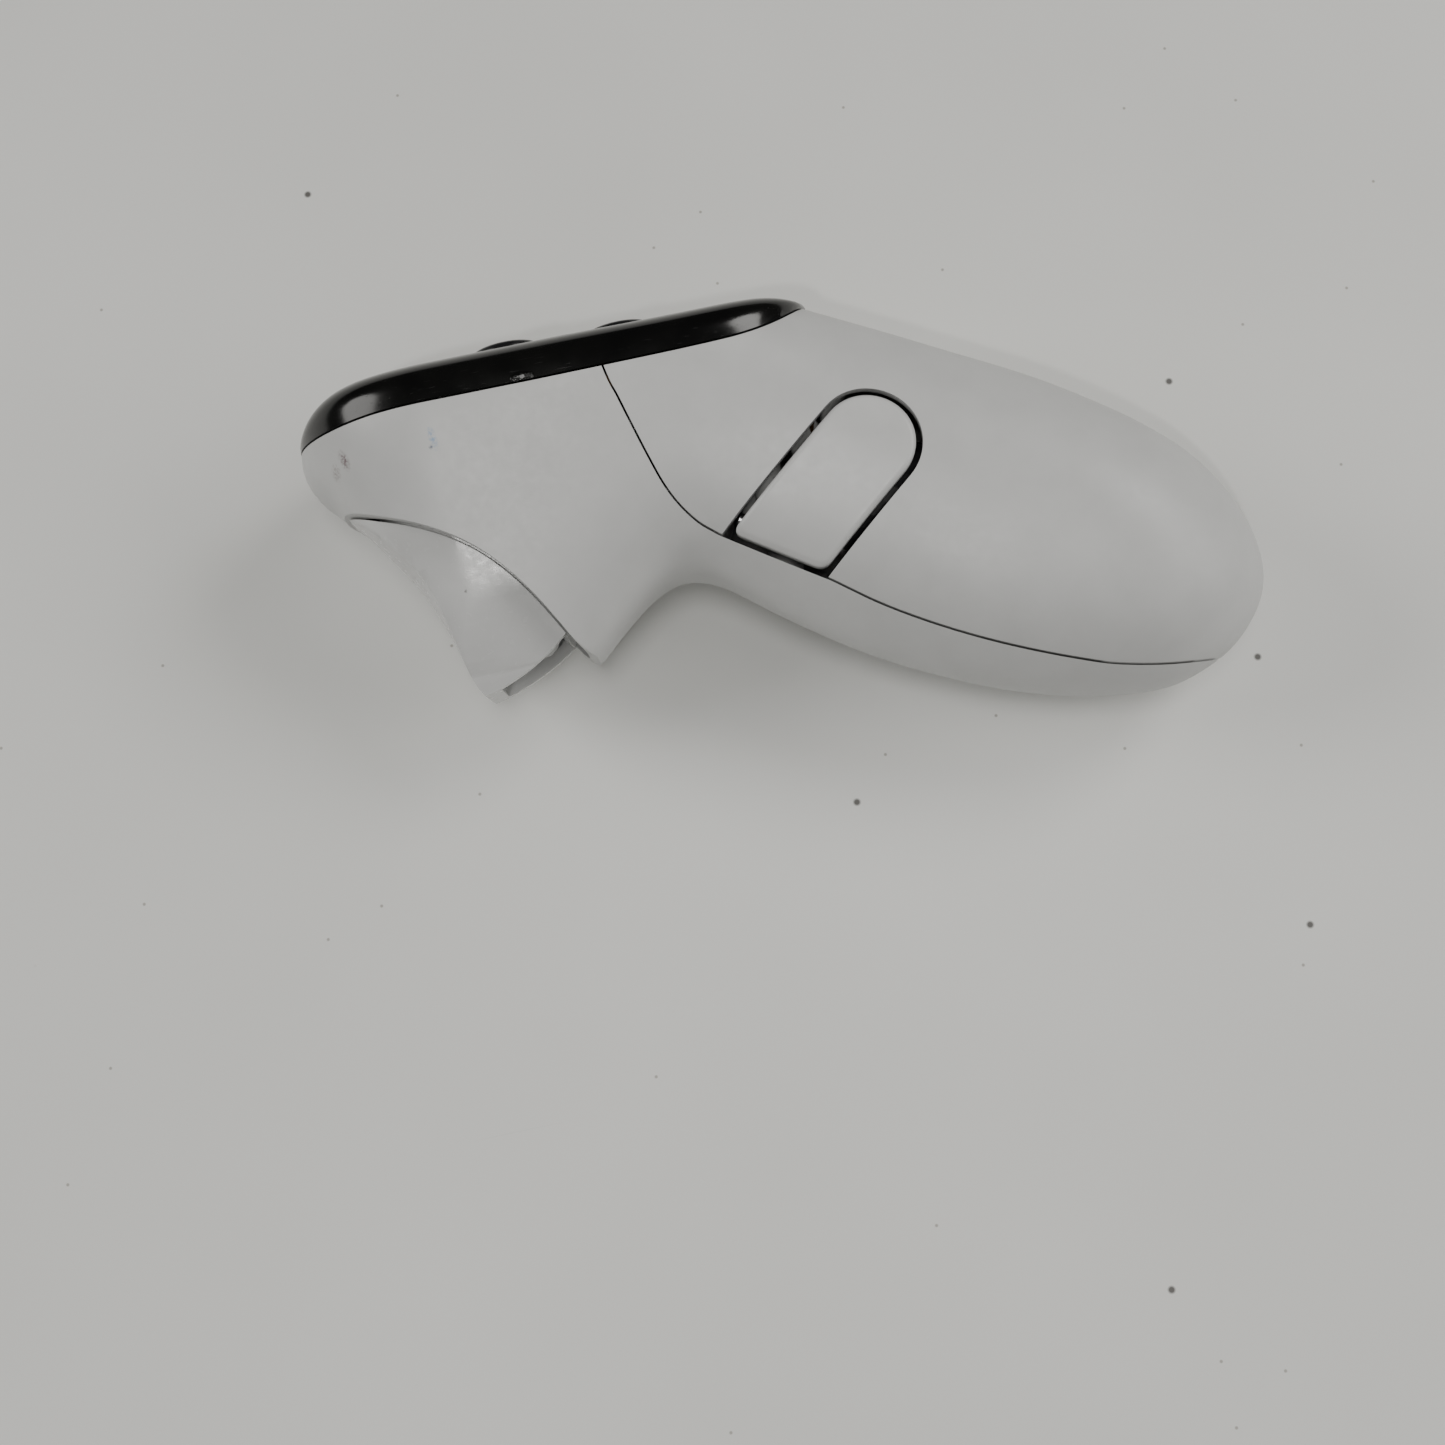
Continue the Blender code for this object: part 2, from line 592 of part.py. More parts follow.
def build_stick():
    x, z = STICK
    low, high = BOARD_Y[1] + GAP, 21.6
    base = box("stick_base", (x - 6, low, z - 6), (x + 6, high, z + 6))
    cut(base, box("stick_base_room", (x - 5.2, low + 0.8, z - 5.2), (x + 5.2, high - 0.8, z + 5.2),
                  helper=True),
        rod("stick_base_mouth", (x, 20, z), (x, 30, z), 4.6, helper=True))
    paint(base, "sheet_steel", (0.55, 0.55, 0.56), 0.35, 0.9)

    pivot = (x, STICK_PIVOT_Y, z)
    ring = rod("stick_gimbal", (x, STICK_PIVOT_Y - 0.8, z), (x, STICK_PIVOT_Y + 0.8, z), 3.7)
    cut(ring, rod("gimbal_bore", (x, 15, z), (x, 30, z), 2.7, helper=True))
    for side in (-1, 1):
        join(ring, rod(f"gimbal_trunnion_{side}", (x + side * 3.2, STICK_PIVOT_Y, z),
                       (x + side * 4.9, STICK_PIVOT_Y, z), 0.7, helper=True, segments=12))
    set_origin(ring, pivot)
    paint(ring, "dark_plastic", (0.04, 0.04, 0.045), 0.5)

    shaft = rod("stick_shaft", (x, 17.9, z), (x, 32.3, z), 1.3, segments=20)
    join(shaft, rod("shaft_trunnions", (x, STICK_PIVOT_Y, z - 2.35), (x, STICK_PIVOT_Y, z + 2.35),
                    0.7, helper=True, segments=12))
    set_origin(shaft, pivot)
    paint(shaft, "dark_plastic", (0.04, 0.04, 0.045), 0.5)

    # The cap's skirt is a part of a ball about the pivot, so that it covers the hole.
    outer, inner = 11.2, 10.4
    skirt_out = [(outer * math.sin(a), outer * math.cos(a)) for a in np.radians(range(22, 47, 6))]
    skirt_in = [(inner * math.sin(a), inner * math.cos(a)) for a in np.radians(range(46, 15, -6))]
    profile = [(0, 14.3), (3.4, 14.35), (5.2, 14.8), (6.0, 15.3), (6.5, 15.3), (6.8, 14.9),
               (6.8, 14.3), (6.2, 13.8), (4.6, 13.0), (3.6, 12.0), (3.4, 10.9), *skirt_out,
               *skirt_in, (2.6, 9.9), (2.6, 8.4), (1.6, 8.4), (1.6, 13.4), (0, 13.4)]
    cap = turned("thumbstick_cap", profile, STICK, STICK_PIVOT_Y, segments=28)
    paint(cap, "soft_touch", (0.02, 0.02, 0.021), 0.65)


# ---------------------------------------------------------------- trigger
def trigger_outline(z):
    """The trigger's side view at depth z: its front draws in towards both sides."""
    front = smooth(TRIGGER_FRONT, 2)
    inward = offset_line(front, 1.0) - front
    along = np.linspace(0, 1, len(front))[:, None]
    draw = TRIGGER_SWELL * (abs(z) / 11.0) ** 2 * np.sin(np.pi * np.clip(along, 0.12, 0.9))
    under = arc_points(TRIGGER_PIVOT, TRIGGER_UNDER_RADIUS, TRIGGER_TIP_ANGLE,
                       TRIGGER_BACK_ANGLE, 12)
    top = [(-33.0, 1.0), (-40.5, 6.0), (-45.4, 12.4), (-47.0, 17.4), (-49.4, 19.7), (-52.6, 19.9),
           (-55.2, 19.2)]
    return [(x, y, z) for x, y in [*(front + inward * draw), *under, *top]]


def trigger_taper(name, inset):
    """The room between the trigger's two narrowing flanks, drawn in by inset."""
    side = [(y, z - inset) for y, z in smooth(TRIGGER_TAPER, 3)]
    outline = [*side, *[(y, -z) for y, z in reversed(side)]]
    return loft(name, [[(x, y, z) for y, z in outline] for x in (-75.0, -20.0)], helper=True)


def build_trigger():
    px, py = TRIGGER_PIVOT
    trigger = loft("trigger", [trigger_outline(z) for z in np.linspace(-15.0, 15.0, 9)],
                   helper=False)
    keep(trigger, body_solid("trigger_sides", WALL + TRIGGER_FLANK, 0.0, stations=40, count=24))
    keep(trigger, trigger_taper("trigger_flanks", 0.0))
    # Above the arc the trigger stays clear of the housing's inner face.
    arc = offset_line(smooth(TRIGGER_ARC, 3), -GAP)
    walls = prism("walls_over_arc", [*map(tuple, arc), (-10, -20), (-10, 40), (-70, 40), (-70, 8)],
                  -30.0, 30.0, helper=True)
    cut(walls, body_solid("trigger_clearance", WALL + TRIGGER_NECK, WALL + TRIGGER_NECK,
                          stations=36, count=24))
    cut(trigger, walls)
    inner_front = offset_line(smooth(TRIGGER_FRONT, 2), TRIGGER_SWELL + TRIGGER_WALL)[5:-3]
    web = TRIGGER_UNDER_RADIUS - TRIGGER_RECESS
    inner_under = arc_points(TRIGGER_PIVOT, web - 1.6, TRIGGER_TIP_ANGLE + 6.0,
                             TRIGGER_BACK_ANGLE - 4.0, 10)
    room = prism("trigger_room", [*map(tuple, inner_front), *inner_under, (-20.0, 12.0),
                                  (-40.0, 30.0), (-55.4, 26.0), (-55.4, 16.5)],
                 -30.0, 30.0, helper=True)
    inside = WALL + TRIGGER_NECK + TRIGGER_WALL
    keep(room, body_solid("trigger_room_sides", inside, WALL + 2.1, stations=36, count=20))
    keep(room, trigger_taper("trigger_room_flanks", TRIGGER_WALL))
    first, last = TRIGGER_RECESS_ANGLES
    recess = prism("trigger_recess", [*arc_points(TRIGGER_PIVOT, web, first, last, 10),
                                      *arc_points(TRIGGER_PIVOT, web + 4.0, last, first, 10)],
                   -30.0, 30.0, helper=True)
    keep(recess, body_solid("recess_sides", WALL + TRIGGER_FLANK + TRIGGER_RIM, 0.0, stations=36,
                            count=20))
    keep(recess, trigger_taper("recess_flanks", TRIGGER_RIM))
    angle = math.radians(-58)
    mx, my = px + 27.0 * math.cos(angle), py + 27.0 * math.sin(angle)
    cut(trigger, room, recess,
        rod("trigger_bore", (px, py, -15), (px, py, 15), PIN_BORE, helper=True))
    join(trigger, rod("magnet_holder", (mx, my, -3.0), (mx, my, 3.0), 2.6, helper=True,
                      segments=16))
    cut(trigger, rod("magnet_holder_bore", (mx, my, -4.0), (mx, my, 4.0), 1.8, helper=True,
                     segments=16))
    set_origin(trigger, (px, py, 0))
    paint(trigger, "white_plastic", (0.72, 0.72, 0.71), 0.42)

    pin = rod("trigger_pin", (px, py, -12.4), (px, py, 12.4), PIN_RADIUS, segments=16)
    paint(pin, "pin_steel", (0.6, 0.6, 0.6), 0.25, 1.0)

    # One leg lies on the board, the other presses on the inside of the trigger's front.
    turns = coil_points((px, py, -1.8), (0, 0, 1), 2.3, 1.1, 3.367, first_angle=80)
    board_leg = turns[0] + Vector((6.5, -1.12, 0))
    trigger_leg = turns[-1] + Vector((1.95, -4.3, 0))
    spring = wire("trigger_spring", [board_leg, *turns, trigger_leg], 0.35)
    paint(spring, "spring_steel", (0.5, 0.5, 0.5), 0.3, 1.0)

    magnet = rod("trigger_magnet", (mx, my, -2.5), (mx, my, 2.5), 1.5, segments=16)
    paint(magnet, "magnet_nickel", (0.62, 0.6, 0.56), 0.25, 1.0)


# ---------------------------------------------------------------- grip button
def grip_axes():
    """Middle of the flat edge, the direction along it, and the way up the button."""
    high, low = Vector((*GRIP_FLAT[0], 0)), Vector((*GRIP_FLAT[1], 0))
    along = (low - high).normalized()
    up = Vector((-along.y, along.x, 0))
    return (high + low) / 2, along, up


def build_grip():
    middle, along, up = grip_axes()
    button = prism("grip_button", grip_outline(GRIP_GAP), 4.0, 30.0)
    cut(button, body_solid("grip_under", 1.6, 0.0))
    hinge = middle + up * GRIP_HINGE_BACK + Vector((0, 0, GRIP_HINGE_DEPTH))
    for side in (-1, 1):
        centre = hinge + along * 4.0 * side
        arm = rod(f"grip_arm_{side}", centre - along * 0.9, centre + along * 0.9, 2.0,
                  helper=True, segments=16)
        stem = box(f"grip_stem_{side}", centre - Vector((0.9, 0.9, 0)),
                   centre + Vector((0.9, 0.9, 6.0)), helper=True)
        join(button, arm, stem)
    keep(button, body_solid("grip_skin", -GRIP_PROUD, 0.0))
    cut(button, rod("grip_bore", hinge - along * 9, hinge + along * 9, PIN_BORE - 0.3,
                    helper=True, segments=16))
    magnet_spot = Vector((*GRIP_ROUND, 0.0))
    holder = rod("grip_magnet_holder", magnet_spot + Vector((0, 0, 11.6)),
                 magnet_spot + Vector((0, 0, 15.6)), 2.5, helper=True, segments=16)
    join(button, holder)
    cut(button, rod("grip_magnet_bore", magnet_spot + Vector((0, 0, 10.0)),
                    magnet_spot + Vector((0, 0, 13.9)), 1.8, helper=True, segments=16))
    set_origin(button, hinge)
    paint(button, "white_gloss", (0.76, 0.76, 0.75), 0.25)

    pin = rod("grip_pin", hinge - along * 6.6, hinge + along * 6.6, PIN_RADIUS - 0.3, segments=16)
    paint(pin, "pin_steel", (0.6, 0.6, 0.6), 0.25, 1.0)

    spot = middle.lerp(magnet_spot, 0.6)
    spring = wire("grip_spring", coil_points(spot + Vector((0, 0, 9.8)), (0, 0, 1), 2.1, 1.2, 3),
                  0.3)
    paint(spring, "spring_steel", (0.5, 0.5, 0.5), 0.3, 1.0)
    seat = rod("grip_sensor", spot + Vector((0, 0, 8.3)), spot + Vector((0, 0, 9.2)), 3.4)
    paint(seat, "board_green", (0.02, 0.14, 0.06), 0.45)
    magnet = rod("grip_magnet", magnet_spot + Vector((0, 0, 11.6)),
                 magnet_spot + Vector((0, 0, 13.6)), 1.5, segments=16)
    paint(magnet, "magnet_nickel", (0.62, 0.6, 0.56), 0.25, 1.0)


# ---------------------------------------------------------------- inside
def build_boards():
    centre = ((-45.5 + 2.0) / 2, 0.0)
    board = slab("main_board", [oval(centre, 23.7, 12.0, 4.0)], *BOARD_Y)
    chassis = slab("chassis", [oval(((-43.0 + 3.0) / 2, 0.0), 22.9, 12.2, 4.5)], *CHASSIS_Y)
    for k, (x, z) in enumerate(SCREW_PLACES, 1):
        hole = rod(f"screw_hole_{k}", (x, 5, z), (x, 20, z), 1.25, helper=True, segments=16)
        cut(board, hole)
        cut(chassis, hole)
        screw = rod(f"chassis_screw_{k}", (x, BOARD_Y[1] + 0.3, z), (x, BOARD_Y[1] + 1.4, z), 1.8)
        join(screw, rod(f"screw_shank_{k}", (x, 7.5, z), (x, BOARD_Y[1] + 0.6, z), 0.9,
                        helper=True, segments=16))
        cut(screw, rod(f"screw_socket_{k}", (x, BOARD_Y[1] + 0.9, z), (x, BOARD_Y[1] + 3, z), 0.8,
                       helper=True, segments=6))
        paint(screw, "screw_steel", (0.08, 0.08, 0.085), 0.35, 1.0)
    px, py = TRIGGER_PIVOT
    for side in (-1, 1):
        z_low, z_high = sorted((side * 5.0, side * 6.6))
        ear = prism(f"trigger_ear_{side}",
                    [(-41.0, CHASSIS_Y[0] + 0.1), (-41.0, CHASSIS_Y[1] - 0.1), (-46.0, 17.0),
                     *arc_points(TRIGGER_PIVOT, 3.0, 60, 250, 9), (-47.0, CHASSIS_Y[0])],
                    z_low, z_high, helper=True)
        join(chassis, ear)
    cut(chassis, rod("ear_bore", (px, py, -12), (px, py, 12), PIN_BORE, helper=True, segments=16))
    for side in (-1, 1):
        z_low, z_high = sorted((side * 4.7, side * 6.9))
        cut(board, box(f"ear_notch_{side}", (-48.0, 10.0, z_low), (-41.5, 20.0, z_high),
                       helper=True))
    paint(board, "board_green", (0.02, 0.14, 0.06), 0.45)
    paint(chassis, "dark_plastic", (0.04, 0.04, 0.045), 0.5)

    motor = rod("haptic_motor", (-11.5, 5.5, -6.0), (-11.5, 5.5, 6.0), 5.0)
    paint(motor, "sheet_steel", (0.55, 0.55, 0.56), 0.35, 0.9)
    sensor = box("trigger_sensor", (-29.0, 11.4, -4.0), (-22.5, CHASSIS_Y[0] - GAP, 4.0))
    paint(sensor, "board_green", (0.02, 0.14, 0.06), 0.45)


def build_led_ring():
    """A band of lamps behind the face cover's rim."""
    rims = []
    for inset in (3.3, 3.9):
        left = [(x, half_depth(x, 22.0) - inset)
                for x in spaced(-58.4 + inset, 3.0 - inset, 16)]
        rims.append([*left, *[(x, -z) for x, z in reversed(left)]])
    band = slab("led_ring", rims, 22.0, 23.6)
    paint(band, "flex_amber", (0.25, 0.12, 0.02), 0.4)


def build_power():
    tray = rod("battery_tray", on_cell(-TRAY_HALF - 1.0), on_cell(TRAY_HALF + 1.0), 8.5)
    cut(tray, rod("tray_bore", on_cell(-TRAY_HALF), on_cell(TRAY_HALF), 7.5, helper=True),
        prism("tray_mouth", [on_cell(-40, -12)[:2], on_cell(40, -12)[:2], on_cell(40, 12)[:2],
                             on_cell(-40, 12)[:2]], -20.0, CELL_Z - 1.5, helper=True))
    paint(tray, "dark_plastic", (0.04, 0.04, 0.045), 0.5)

    cell = rod("battery", on_cell(-CELL_LENGTH / 2 + 0.7), on_cell(CELL_LENGTH / 2 - 0.3),
               CELL_RADIUS, segments=32)
    join(cell, rod("battery_button", on_cell(-CELL_LENGTH / 2 - 0.5),
                   on_cell(-CELL_LENGTH / 2 + 1.5), 2.75, helper=True))
    paint(cell, "cell_label", (0.05, 0.10, 0.22), 0.3, 0.3)

    plus = rod("plus_contact", on_cell(-TRAY_HALF + 0.4), on_cell(-TRAY_HALF + 1.0), 4.6,
               segments=16)
    paint(plus, "contact_nickel", (0.62, 0.6, 0.56), 0.25, 1.0)
    axis = Vector(on_cell(1.0)) - Vector(on_cell(0.0))
    coil = wire("minus_spring", coil_points(on_cell(TRAY_HALF - 0.6), -axis, 4.4, 0.42, 3, 2.0),
                0.2)
    paint(coil, "contact_nickel", (0.62, 0.6, 0.56), 0.25, 1.0)

    path = smooth([(2.6, 19.0), (5.2, 18.6), (6.4, 16.4), (6.6, 14.2)], 5)
    ribbon = [*map(tuple, path), *map(tuple, reversed(offset_line(path, 0.4)))]
    cable = prism("flex_cable", ribbon, -3.0, 3.0)
    paint(cable, "flex_amber", (0.25, 0.12, 0.02), 0.4)


def rest_on_table():
    """Tilts everything to the resting pose, with the table at Z = 0."""
    frame = bpy.data.objects.new("body_frame", None)
    PARTS.objects.link(frame)
    for obj in [*PARTS.objects, *CUTTERS.objects]:
        if obj is not frame:
            obj.parent = frame
    frame.rotation_euler = (math.radians(REST_ROLL), math.radians(REST_PITCH), 0)
    frame.location = Vector(REST_OFFSET) * MM


build_shells()
build_face()
build_buttons()
build_stick()
build_trigger()
build_grip()
build_boards()
build_led_ring()
build_power()
rest_on_table()
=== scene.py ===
"""Looks for the handheld motion controller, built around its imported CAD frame.

Shapes are worked out in millimetres in the controller's own body frame: X from
the nose to the handle's end, Y out of the face plate and Z out of the left side.
place() then puts them into the shared frame, in metres with the table at Z = 0.
"""

import json
import math

import bmesh
import bpy
import numpy as np
from mathutils import Matrix, Vector
from mathutils.bvhtree import BVHTree
from mathutils.interpolate import poly_3d_calc


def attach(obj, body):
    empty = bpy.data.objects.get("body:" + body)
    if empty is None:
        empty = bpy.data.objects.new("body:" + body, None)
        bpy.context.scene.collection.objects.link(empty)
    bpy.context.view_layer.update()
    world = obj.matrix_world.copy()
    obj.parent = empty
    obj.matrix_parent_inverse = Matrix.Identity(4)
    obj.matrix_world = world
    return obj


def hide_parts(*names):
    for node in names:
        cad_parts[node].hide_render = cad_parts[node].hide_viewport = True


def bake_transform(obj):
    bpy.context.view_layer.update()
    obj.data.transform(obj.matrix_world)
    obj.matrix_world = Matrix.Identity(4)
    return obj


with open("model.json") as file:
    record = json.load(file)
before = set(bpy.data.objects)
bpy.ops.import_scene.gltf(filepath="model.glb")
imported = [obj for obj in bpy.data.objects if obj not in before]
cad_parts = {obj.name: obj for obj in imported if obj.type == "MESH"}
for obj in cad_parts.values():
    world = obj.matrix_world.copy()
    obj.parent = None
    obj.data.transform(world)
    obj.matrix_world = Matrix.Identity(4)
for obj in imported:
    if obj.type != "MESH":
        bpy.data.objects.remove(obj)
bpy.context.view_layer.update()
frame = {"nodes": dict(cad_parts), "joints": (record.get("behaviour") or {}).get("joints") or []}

MM = 0.001
DENSE = 1.0      # share of the full mesh density

# ---------------------------------------------------------------- body sizes, mm
WALL, GAP = 1.8, 0.3
SEAM_HEIGHT = 24.5
COVER_WALL, COVER_SQUARENESS, COVER_LIP = 1.6, 3.6, 0.30
COVER_ENDS, HOLLOW_ENDS = (-63.5, 9.2), (-61.0, 5.5)
LIP, LIP_ANGLE = 0.16, 38.0             # rounding of the shells' edges, and which are sharp
SKIN_REACH = 0.03                       # how near the outer form a vertex has to be
BOSS_RADIUS, SCREW_BORE = 2.2, 1.2

TOP_LINE = [(-63.8, 23.4), (-63.2, 26.0), (-60.5, 30.0), (-56.0, 32.6), (-48.0, 34.0),
            (-30.0, 34.3), (-14.0, 34.2), (-2.0, 33.2), (4.5, 31.8), (9.6, 29.5), (18.0, 25.2),
            (27.9, 19.6), (37.7, 13.9), (47.2, 7.2), (51.8, 3.4), (56.2, -1.0), (60.0, -6.8),
            (61.8, -11.1), (62.7, -15.0), (62.9, -18.0)]
BOTTOM_LINE = [(-63.8, 23.4), (-63.5, 21.2), (-62.1, 18.2), (-59.4, 15.0), (-56.5, 9.0),
               (-52.5, -1.0), (-47.5, -13.0), (-42.0, -20.0), (-37.0, -20.0), (-32.5, -15.0),
               (-29.8, -11.9), (-28.3, -11.0), (-26.8, -9.6), (-23.6, -7.0), (-20.7, -4.9),
               (-17.9, -3.5), (-15.6, -3.0), (-13.1, -3.4), (-10.3, -4.8), (-6.8, -7.6),
               (-3.8, -10.2), (2.4, -15.0), (8.8, -19.4), (15.0, -22.9), (21.3, -26.0),
               (27.7, -28.6), (34.3, -30.6), (39.6, -31.6), (44.4, -32.1), (48.7, -31.8),
               (54.0, -30.0), (57.6, -27.7), (60.6, -24.5), (62.2, -21.6), (62.9, -18.0)]
COVER_SEAM = [(-68.0, 25.4), (-63.8, 24.8), (-58.0, 24.6), (-50.0, 24.7), (-41.0, 24.5),
              (-27.0, 24.1), (-14.0, 24.1), (-6.0, 24.4), (0.0, 25.0), (4.5, 26.3), (7.5, 28.0),
              (9.6, 29.8), (14.0, 34.0)]
COVER_CREST = [(-63.7, 25.3), (-63.0, 26.6), (-60.4, 29.2), (-57.3, 30.8), (-54.3, 31.5),
               (-50.5, 31.8), (-42.0, 31.8), (-27.0, 31.4), (-12.0, 31.1), (-1.0, 31.3),
               (3.0, 31.2), (5.6, 30.8), (7.5, 30.3), (9.5, 29.8)]
SHELL_SEAM = [(-21.5, 36.0), (-19.7, 23.7), (-18.7, 19.8), (-17.6, 15.6), (-16.5, 11.6),
              (-15.3, 7.8), (-13.9, 4.9), (-11.9, 2.2), (-9.5, 0.1)]
HANDLE_SEAM = [(3.9, -9.2), (9.6, -13.7), (15.5, -17.6), (21.5, -21.0), (27.7, -24.0),
               (33.9, -26.6), (38.8, -28.3), (44.9, -29.6), (50.6, -30.1), (56.0, -29.9),
               (62.0, -29.0), (70.0, -27.0)]
TRIGGER_ARC = [(-60.8, 13.9), (-59.3, 14.9), (-57.6, 14.3), (-53.8, 12.4), (-49.7, 10.5),
               (-46.3, 8.7), (-42.7, 6.3), (-39.7, 3.6), (-36.9, 0.2), (-34.6, -3.3),
               (-32.8, -6.5), (-31.4, -9.1), (-30.2, -10.6), (-29.1, -11.4)]
SECTIONS = [    # x, half width, draw-in, squareness above and below the middle
    (-63.8, 20.0, 0.24, 2.6, 2.4), (-50.0, 20.3, 0.24, 3.6, 2.8), (-36.0, 20.4, 0.24, 4.4, 4.0),
    (-24.0, 20.4, 0.25, 4.4, 3.6), (-12.0, 19.6, 0.22, 4.0, 2.8), (-2.0, 18.4, 0.14, 3.3, 2.4),
    (8.0, 17.4, 0.05, 2.5, 2.3), (18.0, 17.2, 0.0, 2.2, 2.2), (34.0, 17.3, 0.0, 2.15, 2.15),
    (62.9, 17.3, 0.0, 2.1, 2.1)]
NOSE_X, NOSE_LENGTH = -63.8, 21.0
TAIL_X, TAIL_LENGTH = 62.9, 25.0

STICK, BUTTON_B, BUTTON_A = (-38.0, -8.0), (-32.4, 7.5), (-16.8, 7.5)
MENU, THUMB_REST = (-4.0, -6.5), (-18.0, -7.5)
STICK_HOLE, BUTTON_HOLE, MENU_HOLE = 7.6, 5.2, 3.5
BUTTON_A_TOP, BUTTON_B_TOP = 31.95, 32.6
STICK_WELL, THUMB_DISH = (10.4, 30.9), (5.4, 30.7)
STICK_PIVOT_Y = 19.6
KNURL_COUNT, KNURL_DEPTH, KNURL_RADIUS, KNURL_HEIGHT = 48, 0.12, 6.55, 14.2
TRIGGER_PIVOT = (-51.0, 16.5)
TRIGGER_FRONT = [(-57.2, 17.6), (-58.7, 14.8), (-57.0, 12.6), (-54.5, 8.8), (-52.1, 5.0),
                 (-50.2, 1.2), (-49.1, -1.9), (-48.1, -4.9), (-46.9, -9.3), (-45.9, -12.3),
                 (-45.0, -13.5)]
TRIGGER_SWELL, TRIGGER_LIP = 1.5, 0.28
TRIGGER_UNDER_RADIUS = 30.6
TRIGGER_TIP_ANGLE, TRIGGER_BACK_ANGLE = -77.5, -46.0
TRIGGER_FLANK, TRIGGER_NECK, TRIGGER_WALL = 0.9, 1.9, 1.7
TRIGGER_RECESS, TRIGGER_RIM, TRIGGER_RECESS_ANGLES = 2.4, 1.2, (-74.5, -53.0)
TRIGGER_TAPER = [(-20.0, 3.6), (-14.5, 5.2), (-10.0, 7.4), (-5.0, 9.8), (0.0, 11.9), (6.0, 14.0),
                 (14.0, 16.5), (24.0, 19.0)]
MAGNET_REACH, MAGNET_ANGLE = 27.0, -58.0     # of the trigger's magnet, from its pivot
MAGNET_HOLDER, MAGNET_BORE = (2.6, 3.0), (1.8, 4.0)     # radius, half length
GRIP_ROUND, GRIP_RADIUS, GRIP_SIDE_ANGLE = (12.4, 7.2), 7.3, 37.3
GRIP_FLAT = ((-9.5, 0.1), (3.9, -9.2))
GRIP_GAP, GRIP_PROUD = 0.9, 0.35
GRIP_HINGE_DEPTH, GRIP_HINGE_BACK = 8.4, 3.6
GRIP_RIM, GRIP_THICKNESS = 0.8, 1.6
GRIP_MIDDLE = (3.6, 1.4)                # the point that the rings of its face close in to
CELL_CENTRE, CELL_ANGLE, CELL_Z = (30.9, -6.0), -27.0, -0.5
CELL_RADIUS, CELL_LENGTH = 7.1, 49.0
DOOR_START, DOOR_HALF, DOOR_INSIDE_Z = -19.0, 9.6, -5.0
# Return springs: coil radius, pitch, turns, wire radius; then where the coil starts.
TRIGGER_COIL, TRIGGER_COIL_Z, TRIGGER_COIL_ANGLE = (2.3, 1.1, 3.367, 0.35), -1.8, 80
TRIGGER_COIL_BLEND = (-1.7, 1.8)        # Z of the end that stays and of the end that turns
SHELL_LEG, TRIGGER_LEG = (6.5, -1.12, 0), (1.95, -4.3, 0)
GRIP_COIL, GRIP_COIL_Z = (2.1, 1.2, 3, 0.3), 9.8
GRIP_COIL_SHARE = 0.6                   # of the way from the flat's middle to the round's centre
GRIP_COIL_BLEND = (9.6, 13.2)           # Z of the end that stays and of the end that moves
PIN_BORE = 1.5
CHASSIS_LOW = 12.9
SCREW_PLACES = [(-21.8, -7.0), (-21.8, 7.0), (-1.0, 2.5)]

# Camera, in the body frame: distance and tilt, and where it looks.
VIEW_DISTANCE, VIEW_TILT, VIEW_ROLL = 320.0, 5.5, 12.6
VIEW_TARGET = (-14.4, -23.5, 0.0)
VIEW_LENS, VIEW_SENSOR = 57.8, 36.0
ROOM_COLOUR, ROOM_STRENGTH = (0.95, 0.97, 1.0, 1.0), 0.02
LIGHT_COLOUR = (1.0, 0.985, 0.955)
LIGHT_DISTANCE = 1.3                    # in metres, from the middle of the table
LIGHTS = [      # name, heading from the nose towards the face side, height, size in m, watts
    ("ceiling", 0.0, 88.0, 0.35, 3.2), ("nose_side", 26.0, 32.0, 0.7, 5.6),
    ("face_side", 150.0, 40.0, 0.5, 4.2), ("handle_side", 185.0, 32.0, 0.9, 5.0),
    ("lamp", 300.0, 72.0, 0.045, 2.2)]

# Looks of the table and the dirt on it.
TABLE_HALF, TABLE_DROP = 6.0, 0.00002   # in metres
TABLE_DARK, TABLE_PALE = (0.79, 0.795, 0.77), (0.86, 0.865, 0.845)
STREAK_COLOUR, SPECK_COLOUR = (0.40, 0.38, 0.34), (0.06, 0.055, 0.05)
DUST_COLOUR = (0.20, 0.17, 0.13)
# Bare metal's drawn grain, and the spark texture and soft waves of moulded plastic.
METAL_GRAIN = (1.0, 1.0, 12.0)
SPARK_DEPTH, WAVE_STRENGTH, WAVE_DEPTH = 0.035, 0.05, 0.06


# ---------------------------------------------------------------- shared frame
def body_frame():
    """The body frame's rotation and origin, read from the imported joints."""
    joints = {joint["name"]: joint for joint in frame["joints"]}
    z_axis = Vector(joints["trigger_pull"]["axis"]).normalized()
    y_axis = -Vector(joints["button_a_press"]["axis"]).normalized()
    x_axis = y_axis.cross(z_axis)
    turn = Matrix((x_axis, y_axis, z_axis)).transposed()
    origin = Vector(joints["trigger_pull"]["pos_m"]) / MM - turn @ Vector((*TRIGGER_PIVOT, 0))
    return turn, origin


TURN, ORIGIN = body_frame()
TO_SHARED = Matrix.Translation(ORIGIN * MM) @ TURN.to_4x4() @ Matrix.Scale(MM, 4)


def shared(point):
    """A body-frame point in mm as a shared-frame point in metres."""
    return TO_SHARED @ Vector(point)


